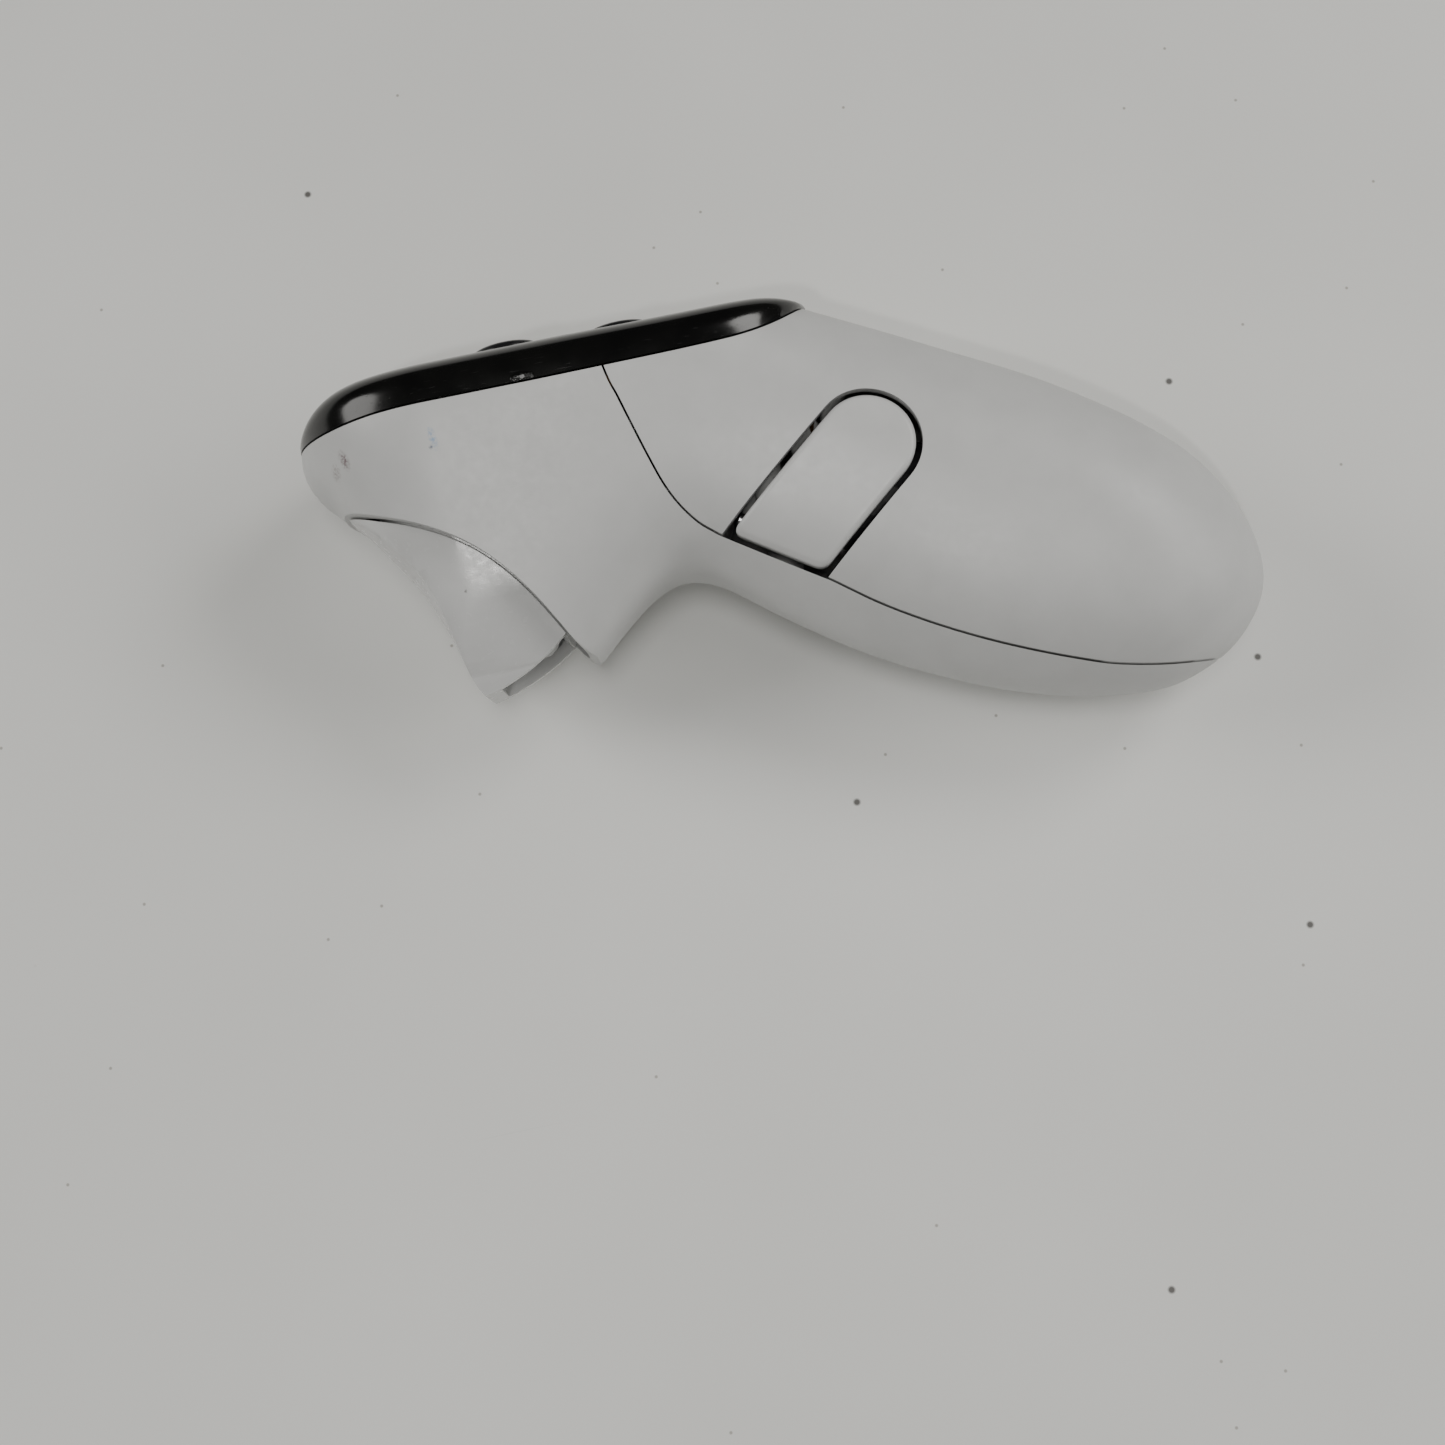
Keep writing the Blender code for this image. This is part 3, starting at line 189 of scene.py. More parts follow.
# ---------------------------------------------------------------- outline maths
def smooth(points, steps=12):
    """A Catmull-Rom curve through the points."""
    p = np.array(points, float)
    p = np.vstack([2 * p[0] - p[1], p, 2 * p[-1] - p[-2]])
    t = np.linspace(0, 1, steps, endpoint=False)[:, None]
    rows = [0.5 * (2 * b + (c - a) * t + (2 * a - 5 * b + 4 * c - d) * t ** 2
                   + (3 * b - a - 3 * c + d) * t ** 3)
            for a, b, c, d in zip(p, p[1:], p[2:], p[3:])]
    return np.vstack([*rows, p[-2:-1]])


def gaussian(values, sigma):
    """Values smoothed over sigma samples, with both ends held."""
    reach = int(3 * sigma) + 1
    kernel = np.exp(-0.5 * (np.arange(-reach, reach + 1) / sigma) ** 2)
    kernel /= kernel.sum()
    front = 2 * values[0] - values[reach:0:-1]
    back = 2 * values[-1] - values[-2:-reach - 2:-1]
    return np.convolve(np.concatenate([front, values, back]), kernel, "valid")


def eased(points, sigma):
    """The smooth line again at even steps, with its small waves taken out."""
    step = 0.2
    line = smooth(points)
    run = np.concatenate([[0], np.cumsum(np.hypot(*np.diff(line, axis=0).T))])
    even = np.linspace(0, run[-1], int(run[-1] / step) + 2)
    return np.column_stack([gaussian(np.interp(even, run, line[:, k]), sigma / step)
                            for k in (0, 1)])


TOP, BOTTOM = eased(TOP_LINE, 1.6), eased(BOTTOM_LINE, 0.7)
SEAM, CREST = eased(COVER_SEAM, 1.2), eased(COVER_CREST, 0.9)
SECTION_X = np.linspace(NOSE_X, TAIL_X, 500)
SECTION_COLUMNS = [gaussian(np.interp(SECTION_X, [row[0] for row in SECTIONS],
                                      [row[k] for row in SECTIONS]), 12.0) for k in range(1, 5)]


def height_on(line, x):
    return np.interp(x, line[:, 0], line[:, 1])


def inset_height(line, x, distance, sign):
    """Height of the line moved inwards by distance: sign -1 for a top, 1 for a bottom."""
    if distance == 0:
        return height_on(line, x)
    reach = distance ** 2 - (x - line[:, 0]) ** 2
    near = reach >= 0
    heights = line[near, 1] + sign * np.sqrt(reach[near])
    return heights.max() if sign > 0 else heights.min()


def section_values(x):
    """Half width, draw-in, top and bottom squareness at x."""
    width, draw, top, bottom = (np.interp(x, SECTION_X, column) for column in SECTION_COLUMNS)
    nose = min(1.0, max(0.0, (x - NOSE_X) / NOSE_LENGTH))
    tail = min(1.0, max(0.0, (TAIL_X - x) / TAIL_LENGTH))
    width *= math.sqrt(nose * (2 - nose)) * math.sqrt(tail * (2 - tail))
    return width, draw, top, bottom


def half_depth(x, y):
    """Z of the left side's surface at a point of the side view."""
    width, draw, square_top, square_bottom = section_values(x)
    top, bottom = height_on(TOP, x), height_on(BOTTOM, x)
    t = (2 * y - top - bottom) / max(top - bottom, 1e-6)
    n = square_top if t > 0 else square_bottom
    profile = max(0.0, 1 - min(1.0, abs(t)) ** n) ** (1 / n)
    return profile * (width - draw * (SEAM_HEIGHT - y))


def rounded(angles, square):
    """Distance from the centre of a unit superellipse at each angle."""
    return (np.abs(np.cos(angles)) ** square + np.abs(np.sin(angles)) ** square) ** (-1 / square)


def body_ring(x, inset, line_inset, count):
    """One closed section of the body, drawn in by inset on the sides."""
    width, draw, square_top, square_bottom = section_values(x)
    top = inset_height(TOP, x, line_inset, -1)
    bottom = inset_height(BOTTOM, x, line_inset, 1)
    middle, half = (top + bottom) / 2, (top - bottom) / 2
    angles = 2 * np.pi * np.arange(count) / count
    c, s = np.cos(angles), np.sin(angles)
    r = rounded(angles, np.where(s > 0, square_top, square_bottom))
    y = middle + half * r * s
    across = np.maximum(0.05, width - draw * (SEAM_HEIGHT - y) - inset)
    return np.column_stack([np.full(count, x), y, across * r * c])


def spaced(low, high, count):
    """Positions from low to high, closer together near both ends."""
    even, eased_share = 0.35, 0.65
    k = np.arange(count + 1) / count
    return low + (high - low) * (even * k + eased_share * (0.5 - 0.5 * np.cos(np.pi * k)))


def offset_line(points, distance):
    """A polyline moved sideways, to its left for a positive distance."""
    p = np.array(points, float)
    along = np.gradient(p, axis=0)
    along /= np.linalg.norm(along, axis=1)[:, None]
    return p + distance * np.column_stack([-along[:, 1], along[:, 0]])


def arc_points(centre, radius, start, end, count):
    angles = np.radians(np.linspace(start, end, count))
    return [(centre[0] + radius * math.cos(a), centre[1] + radius * math.sin(a)) for a in angles]


def on_cell(along, across=0.0):
    """A point given along and across the battery's axis."""
    a = math.radians(CELL_ANGLE)
    return (CELL_CENTRE[0] + along * math.cos(a) - across * math.sin(a),
            CELL_CENTRE[1] + along * math.sin(a) + across * math.cos(a), CELL_Z)


# ---------------------------------------------------------------- mesh helpers
def add_object(name, bm):
    """An object from bm, with its faces turned outwards."""
    bmesh.ops.recalc_face_normals(bm, faces=bm.faces)
    if bm.calc_volume(signed=True) < 0:
        bmesh.ops.reverse_faces(bm, faces=bm.faces)
    mesh = bpy.data.meshes.new(name)
    bm.to_mesh(mesh)
    bm.free()
    obj = bpy.data.objects.new(name, mesh)
    bpy.context.scene.collection.objects.link(obj)
    return obj


def loft(name, rings):
    """A closed skin through rings of equal count, with its ends closed."""
    bm = bmesh.new()
    rows = [[bm.verts.new(tuple(p)) for p in ring] for ring in rings]
    for a, b in zip(rows, rows[1:]):
        count = max(len(a), len(b))
        for k in range(count):
            j = (k + 1) % count
            corners = [a[k % len(a)], a[j % len(a)], b[j % len(b)], b[k % len(b)]]
            bm.faces.new(list(dict.fromkeys(corners)))
    for end in (rows[0], rows[-1]):
        if len(end) > 2:
            bm.faces.new(end)
    bmesh.ops.triangulate(bm, faces=bm.faces)
    return add_object(name, bm)


def body_solid(name, inset=0.0, line_inset=0.0, stations=150, count=100):
    """The controller's outer form, or a smaller copy of it for a cavity."""
    stations, count = int(stations * DENSE), 2 * int(count * DENSE / 2)
    rings = []
    for x in spaced(NOSE_X + line_inset, TAIL_X - line_inset, stations)[1:-1]:
        top = inset_height(TOP, x, line_inset, -1)
        bottom = inset_height(BOTTOM, x, line_inset, 1)
        if top - bottom > 1.0 and section_values(x)[0] - inset > 1.0:
            rings.append(body_ring(x, inset, line_inset, count))
    if inset <= 0 and line_inset == 0:
        nose, tail = (NOSE_X + min(0, inset), TOP[0, 1], 0), (TAIL_X, TOP[-1, 1], 0)
        rings = [[nose], *rings, [tail]]
    return loft(name, rings)


def prism(name, outline, z_low, z_high):
    """An outline in the side view, with a straight depth along Z."""
    return loft(name, [[(x, y, z) for x, y in outline] for z in (z_low, z_high)])


def rod(name, start, end, radius, segments=48):
    start, end = Vector(start), Vector(end)
    along = end - start
    bm = bmesh.new()
    bmesh.ops.create_cone(bm, cap_ends=True, segments=segments, radius1=radius, radius2=radius,
                          depth=along.length)
    bm.transform(Matrix.Translation((start + end) / 2) @ along.to_track_quat("Z", "Y")
                 .to_matrix().to_4x4())
    return add_object(name, bm)


def wire(name, points, radius):
    """A round wire along points, with flat ends."""
    sides = 12
    points = [Vector(p) for p in points]
    heading = [(b - a).normalized() for a, b in zip(points, points[1:])]
    heading.append(heading[-1])
    side = heading[0].orthogonal().normalized()
    rings = []
    for k, point in enumerate(points):
        forward = (heading[max(0, k - 1)] + heading[k]).normalized()
        side = (side - forward * side.dot(forward)).normalized()
        other = forward.cross(side)
        rings.append([point + (side * math.cos(a) + other * math.sin(a)) * radius
                      for a in np.linspace(0, 2 * math.pi, sides, endpoint=False)])
    return loft(name, rings)


def coil_points(start, radius, pitch, turns, first_angle=0.0):
    """Points of a coil about the body's Z axis, upwards from start."""
    per_turn = 40
    first = math.radians(first_angle)
    steps = np.arange(round(turns * per_turn) + 1) / per_turn
    return [Vector(start) + Vector((radius * math.cos(first + 2 * math.pi * t),
                                    radius * math.sin(first + 2 * math.pi * t),
                                    pitch * t)) for t in steps]


def turned(name, profile, centre, bottom_y=0.0, segments=96):
    """A profile of (radius, height) turned about Y."""
    rings = []
    for radius, height in profile:
        if radius == 0:
            rings.append([(centre[0], bottom_y + height, centre[1])])
            continue
        angles = 2 * np.pi * np.arange(segments) / segments
        rings.append(np.column_stack([centre[0] + radius * np.cos(angles),
                                      np.full(segments, bottom_y + height),
                                      centre[1] + radius * np.sin(angles)]))
    return loft(name, rings)


def combine(obj, *steps, spare=()):
    """Runs Boolean steps of (operation, other) on obj, then drops the others."""
    for operation, other in steps:
        modifier = obj.modifiers.new(operation, "BOOLEAN")
        modifier.operation = operation
        modifier.solver = "EXACT"
        modifier.object = other
    bake(obj)
    for _, other in steps:
        if other not in spare:
            bpy.data.objects.remove(other)
    return obj


def bake(obj):
    """Replaces the object's mesh by what its modifiers make of it."""
    graph = bpy.context.evaluated_depsgraph_get()
    mesh = bpy.data.meshes.new_from_object(obj.evaluated_get(graph))
    obj.modifiers.clear()
    obj.data = mesh
    return obj


def cut(obj, *others, spare=()):
    return combine(obj, *[("DIFFERENCE", other) for other in others], spare=spare)


def keep(obj, *others, spare=()):
    return combine(obj, *[("INTERSECT", other) for other in others], spare=spare)


def join(obj, *others):
    return combine(obj, *[("UNION", other) for other in others])


def round_rims(obj, width=LIP, segments=2):
    """Rounds every sharp edge, after welding the small steps that cuts leave beside it."""
    bm = bmesh.new()
    bm.from_mesh(obj.data)
    bmesh.ops.remove_doubles(bm, verts=bm.verts, dist=0.01)
    bmesh.ops.dissolve_degenerate(bm, edges=bm.edges, dist=0.01)
    limit = math.radians(LIP_ANGLE)

    def sharp_edges():
        return [e for e in bm.edges if len(e.link_faces) == 2 and e.calc_face_angle(0) > limit]

    rim = list({v for e in sharp_edges() for v in e.verts})
    found = bmesh.ops.find_doubles(bm, verts=bm.verts, keep_verts=rim, dist=width * 1.3)
    bmesh.ops.weld_verts(bm, targetmap=found["targetmap"])
    bmesh.ops.dissolve_degenerate(bm, edges=bm.edges, dist=0.01)
    bmesh.ops.bevel(bm, geom=sharp_edges(), offset=width, offset_type="OFFSET",
                    segments=segments, profile=0.5, affect="EDGES", clamp_overlap=True)
    bmesh.ops.remove_doubles(bm, verts=bm.verts, dist=0.002)
    bm.to_mesh(obj.data)
    bm.free()
    return obj


class Skin:
    """The uncut outer form, which lends its smooth normals to the pieces cut from it."""

    def __init__(self, obj):
        mesh = obj.data
        self.points = [v.co.copy() for v in mesh.vertices]
        self.faces = [tuple(p.vertices) for p in mesh.polygons]
        self.normals = [Vector(n.vector) for n in mesh.vertex_normals]
        self.tree = BVHTree.FromPolygons(self.points, self.faces)

    def normal_at(self, point):
        """The smooth normal at a point on the form, or None if the point isn't on it."""
        spot, _, index, _ = self.tree.find_nearest(point, SKIN_REACH)
        if spot is None:
            return None
        corners = self.faces[index]
        weights = poly_3d_calc([self.points[v] for v in corners], spot)
        return sum((self.normals[v] * w for v, w in zip(corners, weights)), Vector()).normalized()


def borrow_normals(obj, skin):
    """Custom normals in the body frame: the skin's on its own surface, the usual ones elsewhere."""
    mesh = obj.data
    found = [skin.normal_at(v.co) for v in mesh.vertices]
    normals = [Vector()] * len(mesh.loops)
    for face in mesh.polygons:
        borrowed = [found[v] for v in face.vertices]
        if all(n is not None and n.dot(face.normal) > 0.8 for n in borrowed):
            for loop, normal in zip(face.loop_indices, borrowed):
                normals[loop] = normal
    mesh.normals_split_custom_set([tuple(n) for n in normals])


def place(obj, body, slot, material, *nodes, skin=None):
    """Puts a finished piece into the shared frame, riding on its body when that is a name.

    A spring's body is (still body, moving body, its still point, its moving point), which is not
    used: the spring is only baked into place.
    """
    obj.data.shade_smooth()
    obj.data.set_sharp_from_angle(angle=math.radians(40.0))
    if skin is not None:
        borrow_normals(obj, skin)
    obj.data.transform(TO_SHARED)
    obj.data.materials.clear()
    obj.data.materials.append(material)
    if isinstance(body, str):
        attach(obj, body)
    else:
        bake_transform(obj)
    if nodes:
        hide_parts(*nodes)
    return obj


# ---------------------------------------------------------------- shader helpers
class Shader:
    """A node material built step by step, on object coordinates in metres."""

    def __init__(self, name):
        self.material = bpy.data.materials.new(name)
        self.material.use_nodes = True
        self.nodes = self.material.node_tree.nodes
        self.links = self.material.node_tree.links
        self.surface = self.nodes["Principled BSDF"]
        self.where = self.nodes.new("ShaderNodeTexCoord").outputs["Object"]

    def add(self, kind, output, inputs, **settings):
        """A new node; inputs holds sockets to link and plain values to set."""
        node = self.nodes.new("ShaderNode" + kind)
        for key, value in settings.items():
            setattr(node, key, value)
        for key, value in inputs.items():
            self.feed(node.inputs[key], value)
        return node.outputs[output]

    def feed(self, socket, value):
        if isinstance(value, bpy.types.NodeSocket):
            self.links.new(value, socket)
        else:
            socket.default_value = value

    def noise(self, scale, detail=2.0, where=None):
        return self.add("TexNoise", "Fac", {"Vector": where or self.where, "Scale": scale,
                                            "Detail": detail, "Roughness": 0.55})

    def spread(self, value, low, high, to_low=0.0, to_high=1.0):
        """Value from low..high mapped to to_low..to_high, clamped."""
        return self.add("MapRange", "Result", {"Value": value, "From Min": low, "From Max": high,
                                               "To Min": to_low, "To Max": to_high}, clamp=True)

    def times(self, a, b):
        return self.add("Math", "Value", {0: a, 1: b}, operation="MULTIPLY")

    def blend(self, factor, a, b):
        """Colour a where factor is 0 and colour b where it is 1."""
        node = self.nodes.new("ShaderNodeMix")
        node.data_type = "RGBA"
        self.feed(node.inputs[0], factor)
        for socket, value in ((node.inputs[6], a), (node.inputs[7], b)):
            self.feed(socket, value if isinstance(value, bpy.types.NodeSocket) else (*value, 1.0))
        return node.outputs[2]

    def spot(self, centre, size, turn=0.0):
        """1 at a body-frame point and 0 outside size (mm along the body's X, Y and Z)."""
        facing = TURN @ Matrix.Rotation(math.radians(turn), 3, "Z")
        local = self.add("Mapping", "Vector", {
            "Vector": self.where, "Location": tuple(shared(centre)),
            "Rotation": tuple(facing.to_euler()), "Scale": tuple(s * MM for s in size)},
            vector_type="TEXTURE")
        far = self.add("VectorMath", "Value", {0: local}, operation="LENGTH")
        return self.spread(far, 0.25, 1.0, 1.0, 0.0)

    def specks(self, scale, size, share, dimensions="3D"):
        """1 on small sparse grains: size is a share of a cell, share the cells that have one."""
        cell = self.nodes.new("ShaderNodeTexVoronoi")
        cell.voronoi_dimensions = dimensions
        cell.inputs["Scale"].default_value = scale
        self.links.new(self.where, cell.inputs["Vector"])
        grain = self.spread(cell.outputs["Distance"], size * 0.5, size, 1.0, 0.0)
        chosen = self.add("SeparateColor", "Red", {"Color": cell.outputs["Color"]})
        return self.times(grain, self.spread(chosen, share, share + 0.002, 1.0, 0.0))

    def bump(self, height, strength, distance, below=None):
        inputs = {"Height": height, "Strength": strength, "Distance": distance * MM}
        if below is not None:
            inputs["Normal"] = below
        return self.add("Bump", "Normal", inputs)

    def finish(self, colour, roughness, normal=None, **constants):
        self.feed(self.surface.inputs["Base Color"],
                  colour if isinstance(colour, bpy.types.NodeSocket) else (*colour, 1.0))
        self.feed(self.surface.inputs["Roughness"], roughness)
        if normal is not None:
            self.feed(self.surface.inputs["Normal"], normal)
        for key, value in constants.items():
            self.surface.inputs[key.replace("_", " ")].default_value = value
        return self.material


def plastic(name, colour, rough, marks=(), grain=0.10):
    """Moulded plastic: fine spark texture, faint mottling, specks and any marks."""
    s = Shader(name)
    mottle = s.spread(s.noise(160.0, 4.0), 0.35, 0.65)
    tint = s.blend(mottle, tuple(c * 0.972 for c in colour), tuple(min(1, c * 1.02) for c in colour))
    tint = s.blend(s.times(s.specks(260.0, 0.05, 0.05), 0.5), tint, (0.20, 0.18, 0.16))
    for mark_colour, strength, centre, size, turn in marks:
        patch = s.times(s.spot(centre, size, turn), s.spread(s.noise(2600.0, 3.0), 0.38, 0.62))
        tint = s.blend(s.times(patch, strength), tint, mark_colour)
    fine = s.bump(s.noise(5200.0, 2.0), grain, SPARK_DEPTH)
    wave = s.bump(s.noise(520.0, 2.0), WAVE_STRENGTH, WAVE_DEPTH, fine)
    return s.finish(tint, s.spread(s.noise(900.0, 4.0), 0.3, 0.7, rough - 0.05, rough + 0.05), wave)


def metal(name, colour, rough):
    """Bare metal with a fine drawn grain and slightly uneven polish."""
    s = Shader(name)
    long = s.add("Mapping", "Vector", {"Vector": s.where, "Scale": METAL_GRAIN})
    lines = s.noise(900.0, 3.0, long)
    tint = s.blend(lines, tuple(c * 0.9 for c in colour), colour)
    return s.finish(tint, s.spread(lines, 0.3, 0.7, rough - 0.06, rough + 0.08),
                    s.bump(lines, 0.12, 0.02), Metallic=1.0)


def board_lacquer():
    """Green solder resist over a faint pattern of tracks."""
    s = Shader("board_green")
    tracks = s.add("TexBrick", "Fac", {"Vector": s.where, "Scale": 420.0, "Mortar Size": 0.02,
                                       "Brick Width": 0.9, "Row Height": 0.3})
    tint = s.blend(tracks, (0.015, 0.12, 0.05), (0.03, 0.20, 0.09))
    tint = s.blend(s.specks(700.0, 0.25, 0.18), tint, (0.60, 0.47, 0.20))
    return s.finish(tint, s.spread(s.noise(700.0), 0.3, 0.7, 0.32, 0.46), s.bump(tracks, 0.2, 0.03))


def cell_wrap():
    """The battery's shrink wrap: two plain colours along its length, and no print."""
    s = Shader("cell_label")
    split = s.spot(on_cell(-18.5), (24.0, 24.0, 24.0))
    tint = s.blend(s.spread(split, 0.50, 0.52), (0.02, 0.05, 0.12), (0.55, 0.36, 0.10))
    return s.finish(tint, s.spread(s.noise(600.0), 0.3, 0.7, 0.22, 0.34),
                    s.bump(s.noise(350.0), 0.08, 0.05), Coat_Weight=0.4)


def cover_gloss():
    """Glossy black with handling haze, hair scratches, dust and one small chip, whose pale grey
    patch is a painted highlight.
    """
    s = Shader("black_gloss")
    haze = s.spread(s.noise(120.0, 5.0), 0.35, 0.7)
    stretched = s.add("Mapping", "Vector", {"Vector": s.where, "Scale": (1.0, 14.0, 14.0),
                                            "Rotation": (0.0, 0.3, 0.5)})
    hairs = s.spread(s.noise(260.0, 2.0, stretched), 0.66, 0.70)
    # The chip spot carries a bump for the chip and a pale grey patch that is a painted highlight on
    # the cover's lip.
    chip_and_glint = s.times(s.spot((-30.3, 24.9, 19.9), (1.7, 0.75, 2.0)), s.noise(1900.0, 3.0))
    tint = s.blend(s.times(haze, 0.5), (0.0045, 0.0045, 0.0045), (0.010, 0.010, 0.009))
    tint = s.blend(s.times(s.specks(420.0, 0.09, 0.05), 0.45), tint, (0.35, 0.34, 0.32))
    # Painted highlight: pale grey laid into the chip spot on the lip.
    tint = s.blend(s.spread(chip_and_glint, 0.42, 0.54), tint, (0.30, 0.30, 0.30))
    rough = s.add("Math", "Value", {0: s.spread(haze, 0, 1, 0.13, 0.20), 1: s.times(hairs, 0.12)},
                  operation="ADD")
    normal = s.bump(s.noise(1400.0, 2.0), 0.03, 0.02, s.bump(chip_and_glint, 1.0, 0.5))
    return s.finish(tint, rough, normal)


SCUFFS = [   # colour, strength, centre, size along X, Y and Z, turn about Z
    ((0.22, 0.36, 0.56), 0.85, (-43.5, 19.7, 18.9), (0.65, 1.9, 3.0), 4.0),
    ((0.04, 0.07, 0.14), 1.00, (-44.0, 18.6, 18.8), (0.35, 0.40, 3.0), 0.0),
    ((0.20, 0.14, 0.15), 0.95, (-56.1, 20.4, 14.7), (0.80, 1.7, 4.0), 14.0),
    ((0.28, 0.24, 0.23), 0.75, (-57.7, 19.4, 12.8), (0.80, 1.4, 4.0), 0.0),
]
TRIGGER_MARKS = [((0.06, 0.05, 0.04), 1.0, (-44.1, 0.1, 11.7), (0.30, 0.30, 3.0), 0.0)]


def make_materials():
    return {
        "white_plastic": plastic("white_plastic", (0.62, 0.625, 0.62), 0.41, SCUFFS),
        "white_gloss": plastic("white_gloss", (0.65, 0.655, 0.65), 0.36, grain=0.05),
        "trigger_white": plastic("trigger_white", (0.66, 0.665, 0.66), 0.24, TRIGGER_MARKS, 0.22),
        "black_gloss": cover_gloss(),
        "black_satin": plastic("black_satin", (0.012, 0.012, 0.013), 0.30, grain=0.06),
        "soft_touch": plastic("soft_touch", (0.018, 0.018, 0.019), 0.66, grain=0.25),
        "dark_plastic": plastic("dark_plastic", (0.035, 0.035, 0.038), 0.5, grain=0.12),
        "switch_grey": metal("switch_grey", (0.30, 0.30, 0.31), 0.38),
        "sheet_steel": metal("sheet_steel", (0.56, 0.56, 0.57), 0.34),
        "pin_steel": metal("pin_steel", (0.62, 0.62, 0.62), 0.22),
        "spring_steel": metal("spring_steel", (0.48, 0.48, 0.49), 0.30),
        "magnet_nickel": metal("magnet_nickel", (0.64, 0.62, 0.58), 0.22),
        "contact_nickel": metal("contact_nickel", (0.64, 0.62, 0.57), 0.26),
        "screw_steel": metal("screw_steel", (0.09, 0.09, 0.095), 0.36),
        "board_green": board_lacquer(),
        "flex_amber": plastic("flex_amber", (0.26, 0.12, 0.02), 0.34, grain=0.04),
        "cell_label": cell_wrap(),
    }


MATERIALS = make_materials()


# ---------------------------------------------------------------- shells
def front_region(name, grow):
    """Everything on the front housing's side of the shell seam."""
    seam = np.vstack([smooth(SHELL_SEAM, 8), smooth(HANDLE_SEAM, 8)])
    line = offset_line(seam, grow)
    return prism(name, [*map(tuple, line), (70, -60), (-80, -60), (-80, 40)], -40, 40)


def cover_region():
    """The space above the face seam, taken by the face cover."""
    line = [tuple(p) for p in SEAM[::3]]
    return prism("cover_space", [*line, (14.0, 50.0), (-70.0, 50.0)], -40, 40)


def trigger_opening():
    arc = [tuple(p) for p in eased(TRIGGER_ARC, 0.5)[::3]]
    return prism("trigger_opening", [*arc, (-28.8, -30.0), (-72.0, -30.0), (-66.0, 7.0)], -40, 40)


def door_region(name, grow):
    """A channel along the handle's right side that runs out at its end."""
    start, half, past_end = DOOR_START - grow, DOOR_HALF + grow, 60.0
    corners = [on_cell(start, -half), on_cell(past_end, -half), on_cell(past_end, half),
               on_cell(start, half)]
    return prism(name, [c[:2] for c in corners], -40, DOOR_INSIDE_Z + grow)


def grip_loop(gap, corner=0.0):
    """The grip button's U drawn in by gap, with its two square corners rounded."""
    turn = GRIP_SIDE_ANGLE
    points = arc_points(GRIP_ROUND, GRIP_RADIUS - gap, turn - 90, turn + 90, 33)
    side = np.array([math.cos(math.radians(turn)), math.sin(math.radians(turn))])
    low, high = np.array(GRIP_FLAT[1]), np.array(GRIP_FLAT[0])
    flat = (high - low) / np.linalg.norm(high - low)
    base = low + np.array([flat[1], -flat[0]]) * gap
    ends = []
    for point in (np.array(points[-1]), np.array(points[0])):
        a = np.array([[side[0], -flat[0]], [side[1], -flat[1]]])
        back, _ = np.linalg.solve(a, base - point)
        ends.append(point + side * back)
    for corner_point, before, after in ((ends[0], side, -flat), (ends[1], flat, side)):
        if corner == 0:
            points.append(tuple(corner_point))
            continue
        for t in np.linspace(0, 1, 9):
            start, end = corner_point + before * corner, corner_point + after * corner
            mix = start * (1 - t) ** 2 + corner_point * 2 * t * (1 - t) + end * t ** 2
            points.append(tuple(mix))
    return points


def build_shells():
    white = MATERIALS["white_plastic"]
    cavity = body_solid("cavity", WALL, WALL, 60, 44)
    cover_space, door_space = cover_region(), door_region("door_space", GAP)

    front = body_solid("front_shell")
    skin = Skin(front)
    keep(front, front_region("front_side", 0.0))
    cut(front, cavity, cover_space, trigger_opening(), door_space,
        spare=(cavity, cover_space, door_space))
    round_rims(front)
    limit = body_solid("boss_limit", 0.9, 0.9, 50, 36)
    for k, (x, z) in enumerate(SCREW_PLACES, 1):
        boss = rod(f"boss_{k}", (x, -20.0, z), (x, CHASSIS_LOW - GAP, z), BOSS_RADIUS, 32)
        keep(boss, limit, spare=(limit,))
        join(front, boss)
        cut(front, rod(f"bore_{k}", (x, CHASSIS_LOW - 9, z), (x, CHASSIS_LOW, z), SCREW_BORE, 24))
    bpy.data.objects.remove(limit)
    place(front, "shell", "white_plastic", white, "front_housing", skin=skin)

    rear = body_solid("rear_shell")
    window = prism("grip_window", grip_loop(0.0), 3.0, 40.0)
    cut(rear, front_region("front_side_grown", GAP), cavity, cover_space, door_space, window,
        spare=(cavity,))
    place(round_rims(rear), "shell", "white_plastic", white, "rear_housing", skin=skin)

    door = body_solid("door_shell")
    keep(door, door_region("door_side", 0.0))
    cut(door, cavity)
    place(round_rims(door), "door", "white_plastic", white, "battery_door", skin=skin)


# ---------------------------------------------------------------- face
def cover_ring(x, inset, count):
    """Section of the face cover: a dome over the seam, drawn in by inset."""
    base = height_on(SEAM, x) + (GAP if inset == 0 else -2.0)
    crest = max(base + 0.02, height_on(CREST, x) - inset)
    half = max(0.02, half_depth(x, height_on(SEAM, x)) - inset * 1.1)
    angles = np.pi * np.arange(count + 1) / count
    r = rounded(angles, COVER_SQUARENESS)
    return np.column_stack([np.full(count + 1, x), base + (crest - base) * r * np.sin(angles),
                            half * r * np.cos(angles)])


